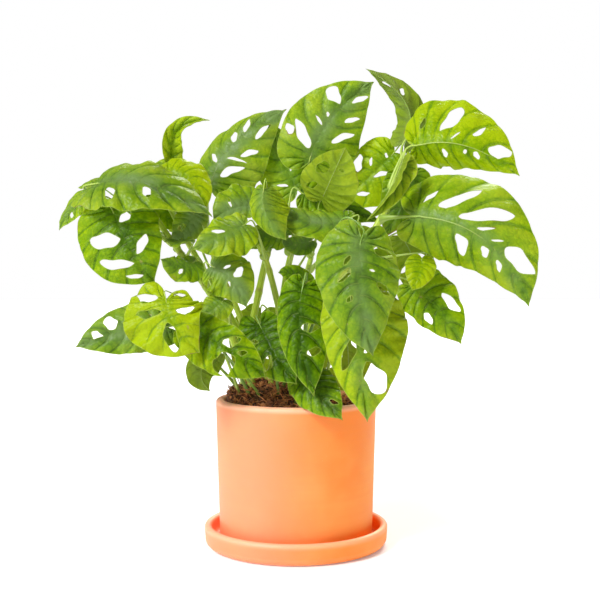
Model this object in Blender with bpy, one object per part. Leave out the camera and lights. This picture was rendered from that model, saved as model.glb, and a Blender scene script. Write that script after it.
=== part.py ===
"""A potted Swiss cheese vine, monstera adansonii: a terracotta pot on its saucer, potting mix, vine stems and
leaves. The saucer's underside is centred on the origin, +Z is up and -Y is the front. Tables are in millimetres."""

import math

import bpy
import numpy as np
from mathutils.geometry import delaunay_2d_cdt

MM = 0.001
GAP = 0.3  # clearance between pieces that touch
SEAT = 0.4  # clearance between a leaf's stalk and the stem that it grows from
SHARP_EDGE = 40  # faces that meet at a larger angle, in degrees, show an edge

# Saucer and pot
SAUCER_RADIUS = 74.5
SAUCER_HEIGHT = 17.5
SAUCER_WALL = 6.0
SAUCER_FLOOR = 5.0
SAUCER_FOOT_RADIUS = 64.0
SAUCER_TURN = 6.5  # radius of the turn from its foot to its wall
SAUCER_FILLET = 4.0
POT_RADIUS = 65.0
POT_BASE_RADIUS = 62.0
POT_TOP = 119.0
POT_WALL = 7.5
POT_FLOOR = 8.0
POT_FILLET = 3.0
POT_BASE = SAUCER_FLOOR + GAP
ROUND_SIDES = 40

# Potting mix: level near the wall, with a mound round the stems
SOIL_EDGE = 111.0
SOIL_INSET = 0.8
MOUND_HEIGHT = 16.0
MOUND_X, MOUND_Y = -24.0, 4.0
MOUND_SPREAD_X, MOUND_SPREAD_Y = 30.0, 26.0
CRUMB = 1.2
SOIL_RINGS, SOIL_SIDES = 5, 20
HOLE_DEPTH = 16.0
HOLE_CLEARANCE = 0.6
HOLE_SIDES = 8
CLEAR_ABOVE = 6.0  # a stem stays upright for this much above the mix

# Stems and leaf stalks
STEM_SIDES, STALK_SIDES = 8, 5
STALK_FOOT, STALK_TAPER = 1.2, 0.006  # a stalk's radius at its foot, and how much more for each mm of leaf
STALK_END = 1.1  # its radius where it meets the blade
STALK_START = 2.0  # it leaves the stem straight for this much
STALK_APPROACH = 9.0  # and comes to the blade in line with the midrib for at most this much

# Leaf blades
BLADE = 0.8  # thickness
TINY_HOLE = 0.035  # slits narrower than this share of the length are left closed
WIDE_HOLE = 0.055  # wider holes have six sides, and the others four
LARGE_LEAF = 60.0
MIDRIB_STRIP = 1.0  # a hole keeps off the midrib by this much
VEIN_LEAN, VEIN_BEND = 1.35, 1.15
HALF_SHIFT = 2.1  # the two halves' edges wave out of step

# Half of a leaf's edge, from the notch at its base round the lobe to the drip tip: along (of the length), across
# (of the half's width)
EDGE = (
    (0.00, 0.00), (-0.07, 0.14), (-0.11, 0.38), (-0.06, 0.67), (0.09, 0.92), (0.27, 1.00),
    (0.46, 0.94), (0.64, 0.76), (0.80, 0.49), (0.91, 0.22), (1.00, 0.00),
)

# Each vine stem: its route up from the potting mix, its radius at the bottom and at the top
STEMS = {
    "stem_left": (((-36, -8, 119), (-42, -9, 143), (-54, -9, 175), (-71, -7, 207), (-87, -4, 228),
                   (-104, 0, 251), (-122, 2, 276)), 3.4, 2.4),
    "stem_left_inner": (((-29, 4, 120), (-34, 5, 141), (-48, 7, 174), (-67, 10, 207), (-80, 10, 230),
                         (-92, 8, 252), (-104, 8, 276)), 3.2, 2.3),
    "stem_arch": (((-20, -9, 120), (-32, 0, 150), (-48, 2, 191), (-61, 1, 219), (-70, 4, 243), (-77, 10, 268)),
                  2.9, 2.0),
    "stem_centre_left": (((-43, 12, 119), (-40, 16, 160), (-34, 15, 189), (-26, 14, 227), (-20, 17, 251),
                          (-14, 26, 272)), 3.6, 2.3),
    "stem_centre_low": (((-2, -4, 118), (-8, -3, 160), (-15, -2, 196), (-23, -5, 227), (-30, -8, 243)), 3.2, 2.2),
    "stem_centre": (((-22, 12, 121), (-15, 10, 165), (-11, 9, 198), (-7, 9, 223), (-2, 11, 245), (2, 20, 270)),
                    3.3, 2.3),
    "stem_right": (((4, 8, 116), (7, 0, 160), (19, -3, 200), (44, 0, 227), (65, 2, 258), (80, 4, 288),
                    (90, 5, 312)), 3.3, 2.4),
    "stem_back": (((-6, 26, 118), (-4, 34, 160), (4, 42, 200), (14, 50, 238)), 3.2, 2.2),
}

# The leaves. base, middle and tip are points on the midrib, and faces is where the upper side looks. widths, folds
# and curls are for the left and the right half, seen from the upper side with the tip up: a fold lifts the half at
# the midrib, in degrees, and a curl bends it down towards its edge. wave is the edge's rise and fall and how often.
# lobes is how far the two lobes reach back, where they aren't the usual 1. A hole is where it starts and ends, each
# as a share of the length and of the half's width (negative on the left half), and its width, as a share of the
# length. stalk is what the leaf grows from and the points its stalk passes.
LEAVES = {
    "leaf_right_large": dict(
        base=(93, -12, 266), middle=(146, -38, 247), tip=(183, -30, 194), faces=(-.1, -.9, .35),
        widths=(53, 36), folds=(-8, -42), curls=(20, 25), wave=(1.5, 3),
        holes=(((.03, -.25), (.07, -.6), .03), ((.15, -.25), (.28, -.84), .06), ((.3, -.17), (.53, -.76), .09),
               ((.44, -.14), (.51, -.34), .03), ((.59, -.2), (.82, -.34), .1), ((.35, .16), (.46, .44), .08),
               ((.53, .06), (.58, .18), .05), ((.67, .1), (.73, .2), .035)),
        stalk=("stem_right", .80)),
    "leaf_right_upper": dict(
        base=(96, 0, 323), middle=(135, -15, 322), tip=(179, -12, 298), faces=(0, -.9, .4),
        widths=(46, 27), folds=(-5, -66), curls=(10, 15), wave=(1.5, 3),
        holes=(((.06, -.3), (.1, -.56), .03), ((.24, -.25), (.4, -.76), .09), ((.35, -.08), (.42, -.26), .025),
               ((.54, -.25), (.61, -.52), .045), ((.7, -.06), (.84, -.31), .1), ((.28, .25), (.31, .52), .035),
               ((.5, .1), (.53, .2), .02)),
        stalk=("stem_right", .93)),
    "leaf_top": dict(
        base=(91, 18, 331), middle=(91, 24, 362), tip=(58, 28, 391), faces=(.2, .9, .3),
        widths=(23, 23), folds=(55, 55), curls=(-10, -10), wave=(1, 3),
        holes=(((.74, .08), (.84, .24), .05), ((.6, -.12), (.66, -.42), .06)),
        stalk=("stem_right", 1)),
    "leaf_back_right": dict(
        base=(83, 36, 322), middle=(63, 42, 303), tip=(33, 45, 276), faces=(-.1, -.95, .3),
        widths=(28, 24), folds=(-5, 5), curls=(15, 15), wave=(1, 3),
        holes=(((.6, .3), (.46, .72), .1), ((.44, .2), (.36, .4), .035), ((.36, -.32), (.48, -.14), .06),
               ((.66, -.16), (.77, -.26), .05)),
        stalk=("stem_right", .95)),
    "leaf_top_centre": dict(
        base=(11, 28, 313), middle=(29, 32, 350), tip=(66, 38, 382), faces=(-.05, -1, .1),
        widths=(33, 36), folds=(0, -10), curls=(10, 15), wave=(1.5, 3),
        holes=(((.21, -.68), (.26, -.88), .07), ((.17, -.14), (.32, -.68), .1), ((.38, -.24), (.46, -.2), .025),
               ((.68, -.1), (.69, -.58), .12), ((.3, .3), (.52, .64), .06), ((.56, .26), (.7, .48), .045),
               ((.76, .1), (.88, .2), .045)),
        stalk=("stem_centre", .97)),
    "leaf_behind_centre": dict(
        base=(1, 48, 291), middle=(-12, 52, 318), tip=(-23, 55, 350), faces=(-.1, -.95, .2),
        widths=(25, 25), folds=(5, -5), curls=(15, 15), wave=(1, 3),
        holes=(((.3, .1), (.54, .5), .05), ((.12, -.2), (.2, -.55), .04)),
        stalk=("stem_centre", .9)),
    "leaf_left_top": dict(
        base=(-73, 38, 293), middle=(-52, 46, 332), tip=(-8, 58, 362), faces=(-.1, -.95, .2),
        widths=(25, 38), folds=(-30, 0), curls=(10, 15), wave=(1.5, 3),
        holes=(((.26, -.16), (.31, -.46), .045), ((.49, -.06), (.58, -.36), .05),
               ((.63, -.05), (.72, -.38), .03), ((.66, .27), (.81, .2), .05), ((.44, .34), (.58, .52), .05),
               ((.33, .12), (.39, .52), .04), ((.14, .18), (.33, .54), .07)),
        stalk=("stem_arch", .96)),
    "leaf_curled_left": dict(
        base=(-102, 21, 307), middle=(-98, 12, 336), tip=(-70, 5, 345), faces=(.5, -.6, .4),
        widths=(14, 14), folds=(48, 48), curls=(-10, -10), wave=(1, 3),
        holes=(((.66, .1), (.76, .3), .06),),
        stalk=("stem_left_inner", .97)),
    "leaf_small_back_left": dict(
        base=(-94, 58, 300), middle=(-106, 60, 312), tip=(-124, 62, 315), faces=(0, -.9, .4),
        widths=(11, 11), folds=(0, 0), curls=(20, 20), wave=(1, 2),
        holes=(((.35, .2), (.45, .6), .08),),
        stalk=("stem_left_inner", 1)),
    "leaf_left_long": dict(
        base=(-163, -8, 291), middle=(-118, -28, 292), tip=(-65, -30, 265), faces=(0, -.55, .83),
        lobes=(2.2, 1.6), widths=(34, 32), folds=(5, -10), curls=(20, 20), wave=(1.5, 3),
        holes=(((.22, .38), (.32, .8), .08), ((.52, .2), (.6, .5), .06)),
        stalk=("stem_left", .97)),
    "leaf_far_left": dict(
        base=(-167, 18, 289), middle=(-184, 22, 277), tip=(-197, 20, 256), faces=(-.3, -.8, .5),
        widths=(15, 15), folds=(0, -15), curls=(15, 15), wave=(1, 2),
        holes=(((.64, -.2), (.72, -.45), .08),),
        stalk=("stem_left", .93)),
    "leaf_left_hanging": dict(
        base=(-146, -20, 273), middle=(-130, -31, 240), tip=(-110, -32, 213), faces=(-.1, -1, .1),
        widths=(31, 38), folds=(-10, 0), curls=(10, 20), wave=(1.5, 3),
        holes=(((.36, .1), (.2, .7), .17), ((.64, .08), (.46, .74), .12), ((.83, .08), (.73, .38), .05),
               ((.17, -.06), (.13, -.4), .1), ((.56, -.12), (.42, -.52), .1)),
        stalk=("stem_left", .9)),
    "leaf_arch_left": dict(
        base=(-105, -3, 302), middle=(-83, -10, 295), tip=(-72, -13, 270), faces=(.3, -.7, .65),
        widths=(18, 18), folds=(10, -40), curls=(15, 15), wave=(1, 3),
        holes=(((.68, .12), (.76, .36), .09),),
        stalk=("stem_left_inner", .92)),
    "leaf_lime_front": dict(
        base=(-96, -72, 202), middle=(-90, -82, 184), tip=(-70, -80, 162), faces=(0, -1, .25),
        lobes=(2.0, 3.6), widths=(27, 35), folds=(-5, -5), curls=(15, 15), wave=(2, 3),
        holes=(((-.02, .2), (-.05, .66), .17), ((.24, .14), (.14, .66), .12), ((.72, .1), (.66, .5), .18),
               ((.3, -.26), (.43, -.68), .12), ((-.08, -.18), (-.1, -.46), .06)),
        stalk=((-46, -14), (-70, -24, 184))),
    "leaf_low_left": dict(
        base=(-98, -45, 179), middle=(-134, -50, 175), tip=(-169, -50, 164), faces=(0, -.95, .3),
        widths=(18, 24), folds=(-5, -5), curls=(20, 20), wave=(1.5, 3),
        holes=(((.52, .15), (.62, .7), .13), ((.7, -.06), (.78, .26), .09)),
        stalk=((-48, -2), (-76, -28, 162))),
    "leaf_mid_left": dict(
        base=(-80, -16, 230), middle=(-92, -26, 227), tip=(-106, -30, 232), faces=(0, -.7, .7),
        widths=(16, 12), folds=(-20, 0), curls=(10, 10), wave=(1, 3),
        holes=(((.44, -.22), (.52, -.5), .09),),
        stalk=("stem_left", .6)),
    "leaf_mid_centre": dict(
        base=(-66, -31, 226), middle=(-50, -39, 216), tip=(-38, -42, 194), faces=(.1, -.9, .4),
        widths=(24, 20), folds=(-5, -15), curls=(25, 10), wave=(1, 3),
        holes=(((.24, -.1), (.28, -.36), .07), ((.5, -.13), (.42, -.56), .1), ((.16, .44), (.1, .82), .1),
               ((.5, .12), (.6, .3), .06)),
        stalk=("stem_left", .5)),
    "leaf_low_centre": dict(
        base=(-80, -62, 180), middle=(-47, -75, 163), tip=(-22, -72, 143), faces=(0, -.95, .3),
        widths=(17, 23), folds=(0, -5), curls=(5, 15), wave=(1.5, 3),
        holes=(((.37, -.05), (.5, -.58), .1), ((.56, -.04), (.64, -.3), .05), ((.54, .15), (.42, .84), .25)),
        stalk=((-38, -22), (-62, -34, 166))),
    "leaf_low_under": dict(
        base=(-56, -48, 160), middle=(-63, -55, 145), tip=(-53, -58, 131), faces=(0, .9, -.3),
        widths=(16, 16), folds=(10, 10), curls=(-15, -15), wave=(1, 2),
        holes=(),
        stalk=((-30, -28),)),
    "leaf_dark_centre": dict(
        base=(-28, -40, 181), middle=(-16, -56, 160), tip=(1, -66, 137), faces=(0, -.95, .3),
        lobes=(1.5, 2.2), widths=(20, 23), folds=(10, -5), curls=(10, 15), wave=(1.5, 3),
        holes=(((.54, .2), (.64, .56), .12), ((.25, .3), (.16, .5), .05)),
        stalk=((-14, -22), (-20, -28, 160))),
    "leaf_centre_lower": dict(
        base=(6, -55, 212), middle=(3, -68, 175), tip=(14, -77, 129), faces=(0, -1, .1),
        widths=(27, 18), folds=(-10, -15), curls=(15, 15), wave=(1.5, 4),
        holes=(((.44, -.06), (.44, -.55), .09), ((.69, -.1), (.66, -.48), .09)),
        stalk=((8, -18), (7, -34, 175))),
    "leaf_low_right": dict(
        base=(6, -46, 144), middle=(17, -65, 131), tip=(35, -78, 112), faces=(0, -.9, .45),
        widths=(20, 18), folds=(-5, -10), curls=(20, 20), wave=(1, 3),
        holes=(((.7, -.14), (.81, -.3), .06),),
        stalk=((0, -32),)),
    "leaf_small_centre": dict(
        base=(10, -20, 213), middle=(-3, -22, 220), tip=(-14, -24, 221), faces=(0, -.9, .4),
        widths=(9, 10), folds=(0, -10), curls=(15, 15), wave=(.5, 2),
        holes=(((.2, -.1), (.3, -.4), .06),),
        stalk=("stem_right", .3)),
    "leaf_centre_large": dict(
        base=(48, -88, 247), middle=(46, -104, 208), tip=(56, -100, 161), faces=(0, -1, .15),
        lobes=(1.6, 1.6), widths=(32, 32), folds=(-10, -5), curls=(20, 25), wave=(1.5, 4),
        holes=(((.3, .2), (.4, .46), .07), ((.53, .18), (.56, .3), .04), ((.2, .18), (.26, .34), .04),
               ((.08, -.3), (.12, -.8), .07), ((.3, -.18), (.31, -.28), .02), ((.43, -.42), (.56, -.68), .07)),
        stalk=((-10, -12), (8, -20, 190), (24, -48, 250), (40, -78, 262))),
    "leaf_front_right": dict(
        base=(41, -66, 205), middle=(46, -84, 164), tip=(53, -82, 111), faces=(0, -1, .1),
        widths=(40, 26), folds=(-5, -10), curls=(15, 20), wave=(2, 4),
        holes=(((.6, -.1), (.8, -.36), .17), ((.38, .08), (.64, .46), .1), ((.47, -.1), (.5, -.24), .05)),
        stalk=((20, -20), (30, -36, 165))),
    "leaf_small_right": dict(
        base=(103, 6, 233), middle=(100, 1, 220), tip=(94, -2, 206), faces=(0, -1, .2),
        widths=(13, 13), folds=(0, 0), curls=(20, 20), wave=(1, 2),
        holes=(),
        stalk=("stem_right", .62)),
    "leaf_mid_right": dict(
        base=(95, 14, 211), middle=(117, 9, 189), tip=(136, 7, 162), faces=(0, -.95, .3),
        widths=(26, 20), folds=(0, -5), curls=(15, 15), wave=(1.5, 3),
        holes=(((.35, -.5), (.66, -.54), .1), ((.4, .48), (.57, .58), .1)),
        stalk=("stem_right", .58)),
    "leaf_centre_front": dict(
        base=(21, 3, 280), middle=(30, -8, 300), tip=(40, -5, 322), faces=(0, .95, -.3),
        widths=(24, 24), folds=(-5, -15), curls=(-15, -30), wave=(1, 2),
        holes=(((.62, .24), (.42, .58), .2), ((.24, .36), (.08, .68), .12), ((.62, -.1), (.6, -.3), .06)),
        stalk=((-8, 18), (8, 4, 207), (14, 3, 235), (17, 4, 252))),
    "leaf_arch_centre": dict(
        base=(-32, -5, 275), middle=(-51, -12, 272), tip=(-66, -15, 263), faces=(0, -.5, .85),
        widths=(13, 20), folds=(-10, 42), curls=(10, 15), wave=(1, 3),
        holes=(((.5, .08), (.48, .5), .05),),
        stalk=("stem_centre_left", .82)),
    "leaf_left_centre": dict(
        base=(-39, -28, 259), middle=(-58, -40, 250), tip=(-80, -44, 239), faces=(0, -.9, .45),
        widths=(21, 17), folds=(-5, -5), curls=(15, 15), wave=(1, 3),
        holes=(((.4, .1), (.6, .42), .07),),
        stalk=("stem_centre_low", .95)),
    "leaf_olive_centre": dict(
        base=(-8, 0, 251), middle=(-28, -2, 252), tip=(-50, -8, 243), faces=(0, -.8, -.6),
        widths=(18, 11), folds=(0, 0), curls=(15, 15), wave=(1, 3),
        holes=(),
        stalk=("stem_centre", .72)),
    "leaf_folded_centre": dict(
        base=(-25, -26, 287), middle=(-23, -34, 267), tip=(-7, -38, 246), faces=(.2, -.9, .3),
        widths=(26, 14), folds=(-20, -50), curls=(10, 10), wave=(1, 3),
        holes=(),
        stalk=("stem_centre_left", .92)),
    "leaf_glossy_centre": dict(
        base=(37, -10, 261), middle=(8, -14, 262), tip=(-18, -6, 276), faces=(0, -.6, .8),
        widths=(18, 18), folds=(-10, 0), curls=(20, 15), wave=(1, 3),
        holes=(),
        stalk=("stem_right", .5)),
    "leaf_shaded_centre": dict(
        base=(5, 14, 286), middle=(21, 14, 278), tip=(40, 13, 262), faces=(0, -.9, .4),
        widths=(15, 15), folds=(0, 0), curls=(15, 15), wave=(1, 2),
        holes=(),
        stalk=("stem_centre", .86)),
    "leaf_folded_right": dict(
        base=(86, -8, 311), middle=(75, -14, 287), tip=(56, -16, 262), faces=(.7, -.6, .2),
        widths=(14, 14), folds=(60, 60), curls=(-5, -5), wave=(1, 2),
        holes=(),
        stalk=("stem_right", .88)),
    "leaf_shaded_right": dict(
        base=(97, 23, 305), middle=(92, 22, 282), tip=(76, 20, 257), faces=(0, -.95, .2),
        widths=(14, 14), folds=(0, 0), curls=(15, 15), wave=(1, 2),
        holes=(),
        stalk=("stem_right", .84)),
    "leaf_behind_stems": dict(
        base=(-124, 16, 278), middle=(-110, 17, 268), tip=(-96, 16, 255), faces=(0, -.9, .4),
        widths=(12, 12), folds=(0, 0), curls=(15, 15), wave=(1, 2),
        holes=(),
        stalk=("stem_left", .86)),
    "leaf_grey_left": dict(
        base=(-82, -2, 270), middle=(-89, -4, 257), tip=(-101, -5, 243), faces=(0, -.9, -.4),
        widths=(14, 13), folds=(0, 0), curls=(10, 10), wave=(1, 2),
        holes=(((.45, .06), (.64, .36), .18),),
        stalk=("stem_arch", .9)),
    "leaf_edge_left": dict(
        base=(-84, -18, 247), middle=(-96, -18, 246), tip=(-101, -11, 248), faces=(0, -.2, 1),
        widths=(11, 13), folds=(0, 0), curls=(15, 15), wave=(1.5, 2),
        holes=(),
        stalk=("stem_left", .78)),
    "leaf_pale_left": dict(
        base=(-56, -36, 200), middle=(-65, -39, 192), tip=(-78, -40, 185), faces=(0, -.9, .4),
        widths=(12, 12), folds=(0, 0), curls=(15, 15), wave=(1, 2),
        holes=(),
        stalk=("stem_left", .42)),
    "leaf_under_centre": dict(
        base=(13, 0, 247), middle=(0, -4, 244), tip=(-12, -6, 248), faces=(0, -.9, -.4),
        widths=(10, 9), folds=(0, 0), curls=(-15, -15), wave=(.5, 2),
        holes=(),
        stalk=("stem_centre", .66)),
    "leaf_rear_right": dict(
        base=(45, 52, 252), middle=(57, 74, 215), tip=(64, 78, 165), faces=(.1, .95, .3),
        widths=(30, 30), folds=(-5, -5), curls=(20, 20), wave=(1.5, 3),
        holes=(((.12, .2), (.2, .7), .07), ((.34, .15), (.48, .72), .08), ((.58, .15), (.74, .48), .07),
               ((.18, -.2), (.28, -.72), .08), ((.42, -.15), (.58, -.64), .08)),
        stalk=("stem_back", .95)),
    "leaf_rear_low": dict(
        base=(36, 58, 192), middle=(46, 80, 152), tip=(44, 84, 106), faces=(.1, .95, .3),
        widths=(27, 27), folds=(-5, -5), curls=(20, 20), wave=(1.5, 3),
        holes=(((.16, .2), (.26, .7), .07), ((.4, .15), (.55, .66), .08), ((.28, -.2), (.4, -.7), .08),
               ((.54, -.15), (.7, -.54), .07)),
        stalk=("stem_back", .5)),
    "leaf_rear_left_low": dict(
        base=(-30, 48, 186), middle=(-38, 66, 152), tip=(-38, 70, 118), faces=(-.1, .95, .3),
        widths=(23, 23), folds=(-5, -5), curls=(20, 20), wave=(1.5, 3),
        holes=(((.2, .2), (.3, .7), .08), ((.45, .15), (.6, .62), .08), ((.34, -.2), (.48, -.68), .08)),
        stalk=("stem_back", .55)),
    "leaf_rear_top": dict(
        base=(20, 58, 282), middle=(24, 72, 304), tip=(22, 82, 328), faces=(0, .8, .5),
        widths=(22, 22), folds=(-5, -5), curls=(15, 15), wave=(1, 3),
        holes=(((.2, .2), (.3, .7), .08), ((.46, .15), (.6, .6), .07), ((.42, -.2), (.58, -.62), .08)),
        stalk=("stem_back", 1)),
    "leaf_rear_left": dict(
        base=(-90, 34, 262), middle=(-110, 56, 274), tip=(-133, 68, 268), faces=(0, .9, .3),
        widths=(18, 18), folds=(-5, -5), curls=(15, 15), wave=(1, 3),
        holes=(((.3, .2), (.42, .7), .08), ((.42, -.2), (.56, -.66), .08)),
        stalk=("stem_left_inner", .6)),
    "leaf_rear_far_right": dict(
        base=(90, 36, 250), middle=(102, 54, 226), tip=(100, 60, 196), faces=(.2, .9, .3),
        widths=(19, 19), folds=(-5, -5), curls=(15, 15), wave=(1, 3),
        holes=(((.3, .2), (.42, .7), .08), ((.44, -.2), (.6, -.62), .08)),
        stalk=("stem_right", .64)),
}

COLOURS = {
    "terracotta": (0.90, 0.32, 0.12, 1),
    "potting mix": (0.05, 0.02, 0.012, 1),
    "green stem": (0.33, 0.48, 0.07, 1),
    "leaf": (0.20, 0.42, 0.02, 1),
}
ROUGHNESS = {"terracotta": 0.75, "potting mix": 0.95, "green stem": 0.5, "leaf": 0.42}


for old in list(bpy.data.objects):
    bpy.data.objects.remove(old)


def finish(name):
    """The material of this name, made on first use."""
    material = bpy.data.materials.get(name)
    if material is None:
        material = bpy.data.materials.new(name)
        material.use_nodes = True
        shader = material.node_tree.nodes["Principled BSDF"]
        shader.inputs["Base Color"].default_value = COLOURS[name]
        shader.inputs["Roughness"].default_value = ROUGHNESS[name]
        shader.inputs["Metallic"].default_value = 0
    return material


def solid(name, points, faces, material):
    """An object from points in millimetres."""
    mesh = bpy.data.meshes.new(name)
    mesh.from_pydata((np.asarray(points) * MM).tolist(), [], [list(face) for face in faces])
    mesh.materials.append(finish(material))
    mesh.shade_smooth()
    mesh.set_sharp_from_angle(angle=math.radians(SHARP_EDGE))
    thing = bpy.data.objects.new(name, mesh)
    bpy.context.scene.collection.objects.link(thing)
    return thing


def combine(target, others, operation):
    """Join the other objects to the target, or cut them from it, and remove them."""
    group = bpy.data.collections.new(target.name + " tools")
    bpy.context.scene.collection.children.link(group)
    for other in others:
        bpy.context.scene.collection.objects.unlink(other)
        group.objects.link(other)
    step = target.modifiers.new("combine", "BOOLEAN")
    step.operation = operation
    step.operand_type = "COLLECTION"
    step.collection = group
    step.solver = "EXACT"
    bpy.context.view_layer.update()
    made = bpy.data.meshes.new_from_object(target.evaluated_get(bpy.context.evaluated_depsgraph_get()))
    target.modifiers.clear()
    target.data = made
    for other in others:
        bpy.data.objects.remove(other)
    bpy.data.collections.remove(group)


def turned(name, profile, material):
    """A round piece from its profile, a list of (radius, height) that ends on the axis and runs down the outside."""
    points = [(radius * MM, 0, height * MM) for radius, height in profile]
    mesh = bpy.data.meshes.new(name)
    mesh.from_pydata(points, [(i, i + 1) for i in range(len(points) - 1)], [])
    mesh.materials.append(finish(material))
    thing = bpy.data.objects.new(name, mesh)
    bpy.context.scene.collection.objects.link(thing)
    turn = thing.modifiers.new("turn", "SCREW")
    turn.angle = 2 * math.pi
    turn.steps = turn.render_steps = ROUND_SIDES
    turn.use_merge_vertices = True
    turn.merge_threshold = 0.0001
    turn.use_smooth_shade = True
    return thing


def corner(radius, height, size, start, stop, count=3):
    """Points of a round corner, from one angle in degrees to another."""
    angles = np.radians(np.linspace(start, stop, count))
    return [(radius + size * math.cos(a), height + size * math.sin(a)) for a in angles]


def unit(vector):
    """A vector or rows of vectors at length 1."""
    return vector / np.maximum(np.linalg.norm(vector, axis=-1, keepdims=True), 1e-9)


def curve(points, at):
    """A smooth curve through the points, read at numbers from 0 at its start to 1 at its end."""
    points = np.asarray(points, float)
    points = np.vstack([2 * points[0] - points[1], points, 2 * points[-1] - points[-2]])
    place = np.clip(at, 0, 1) * (len(points) - 3)
    span = np.minimum(place.astype(int), len(points) - 4)
    f = (place - span)[:, None]
    a, b, c, d = (points[span + k] for k in range(4))
    return b + 0.5 * f * (c - a + f * (2 * a - 5 * b + 4 * c - d + f * (3 * (b - c) + d - a)))


def sampled(route):
    """A smooth path through a route, read at each of its points, and halfway along every span but the first and the
    last."""
    spans = len(route) - 1
    at = [0, *[k / 2 for k in range(2, 2 * spans - 1)], spans]
    return curve(route, np.array(at) / spans)


def tube(path, radii, sides):
    """Points and faces of a closed round tube along a path."""
    path = np.asarray(path, float)
    along = unit(np.gradient(path, axis=0))
    side = np.cross(along[0], (0.31, 0.95, 0.05))
    turn = np.linspace(0, 2 * math.pi, sides, endpoint=False)[:, None]
    rings = []
    for centre, direction, radius in zip(path, along, radii):
        side = unit(side - direction * np.dot(side, direction))
        rings.append(centre + radius * (np.cos(turn) * side + np.sin(turn) * np.cross(direction, side)))
    last = sides * (len(rings) - 1)
    faces = [tuple(range(sides))[::-1], tuple(range(last, last + sides))]
    faces += ring_faces(len(rings), sides)
    return np.vstack(rings), faces


def ring_faces(rings, sides):
    """The faces between rings of points, each ring anticlockwise seen from the next."""
    faces = []
    for start in range(0, (rings - 1) * sides, sides):
        for k in range(sides):
            low, after = start + k, start + (k + 1) % sides
            faces.append((low, after, after + sides, low + sides))
    return faces


# Saucer: a shallow dish with a round rim, which stands on a flat foot
rim = SAUCER_WALL / 2
inside = SAUCER_RADIUS - SAUCER_WALL
saucer_profile = [(0, SAUCER_FLOOR), (inside - SAUCER_FILLET, SAUCER_FLOOR), (inside, SAUCER_FLOOR + SAUCER_FILLET)]
saucer_profile += corner(SAUCER_RADIUS - rim, SAUCER_HEIGHT - rim, rim, 180, 0, 5)
saucer_profile += corner(SAUCER_RADIUS - 0.5 - SAUCER_TURN, SAUCER_TURN, SAUCER_TURN, 0, -60)
saucer_profile += [(SAUCER_FOOT_RADIUS, 0), (0, 0)]
turned("saucer", saucer_profile, "terracotta")

# Pot: slightly wider at its rim, with a round lip
lip = POT_WALL / 2
inside = POT_BASE_RADIUS - POT_WALL
floor = POT_BASE + POT_FLOOR
pot_profile = [(0, floor), (inside - POT_FILLET, floor), (inside, floor + POT_FILLET)]
pot_profile += corner(POT_RADIUS - lip, POT_TOP - lip, lip, 180, 0, 5)
pot_profile += corner(POT_BASE_RADIUS - POT_FILLET, POT_BASE + POT_FILLET, POT_FILLET, 0, -90)
pot_profile += [(0, POT_BASE)]
turned("pot", pot_profile, "terracotta")


def soil_height(x, y):
    """Height of the potting mix at a place: a mound over a level bed, with crumbs."""
    mound = np.exp(-((x - MOUND_X) / MOUND_SPREAD_X) ** 2 / 2 - ((y - MOUND_Y) / MOUND_SPREAD_Y) ** 2 / 2)
    crumbs = np.sin(0.61 * x + 1.3) * np.cos(0.47 * y) + 0.6 * np.sin(0.83 * y - 0.39 * x)
    return SOIL_EDGE + MOUND_HEIGHT * mound + CRUMB * crumbs


def soil_body():
    """Points and faces of the potting mix: a flat bottom, a side that follows the pot's wall, and a crumbly top."""
    bottom = POT_BASE + POT_FLOOR + GAP
    wall_top = POT_RADIUS - POT_WALL - GAP - SOIL_INSET
    wall_bottom = POT_BASE_RADIUS - POT_WALL - GAP
    turn = np.linspace(0, 2 * math.pi, SOIL_SIDES, endpoint=False)
    rings = []
    for radius, height in ((wall_bottom - POT_FILLET, bottom), (wall_bottom, bottom + POT_FILLET)):
        rings.append(np.column_stack([radius * np.cos(turn), radius * np.sin(turn), np.full(SOIL_SIDES, height)]))
    for radius in np.linspace(wall_top, 0, SOIL_RINGS, endpoint=False):
        x, y = radius * np.cos(turn), radius * np.sin(turn)
        rings.append(np.column_stack([x, y, soil_height(x, y)]))
    faces = ring_faces(len(rings), SOIL_SIDES)
    centres = len(rings) * SOIL_SIDES
    last = centres - SOIL_SIDES
    for k in range(SOIL_SIDES):
        after = (k + 1) % SOIL_SIDES
        faces += [(after, k, centres), (last + k, last + after, centres + 1)]
    return np.vstack([*rings, (0, 0, bottom), (0, 0, soil_height(0, 0))]), faces


def rooted(x, y):
    """The lowest points of a stem that stands in the potting mix: just off the bottom of its hole, and clear above."""
    top = float(soil_height(x, y))
    return (x, y, top - HOLE_DEPTH + GAP), (x, y, top + CLEAR_ABOVE)


stem_routes = {}
roots = []
for name, (route, thick, thin) in STEMS.items():
    x, y, _ = route[0]
    path = sampled(rooted(x, y) + route[1:])
    radii = np.linspace(thick, thin, len(path))
    stem_routes[name] = (path, radii)
    roots.append((x, y, thick))
    solid(name, *tube(path, radii, STEM_SIDES), "green stem")


def on_stem(name, at):
    """The centre, direction and radius of a stem, at a share of its route."""
    path, radii = stem_routes[name]
    place = at * (len(path) - 1)
    span = min(int(place), len(path) - 2)
    run = path[span + 1] - path[span]
    return path[span] + run * (place - span), unit(run), float(np.interp(place, range(len(path)), radii))


def leaf_length(shape):
    """The straight distance from a leaf's base to its tip."""
    return float(np.linalg.norm(np.subtract(shape["tip"], shape["base"])))


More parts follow.
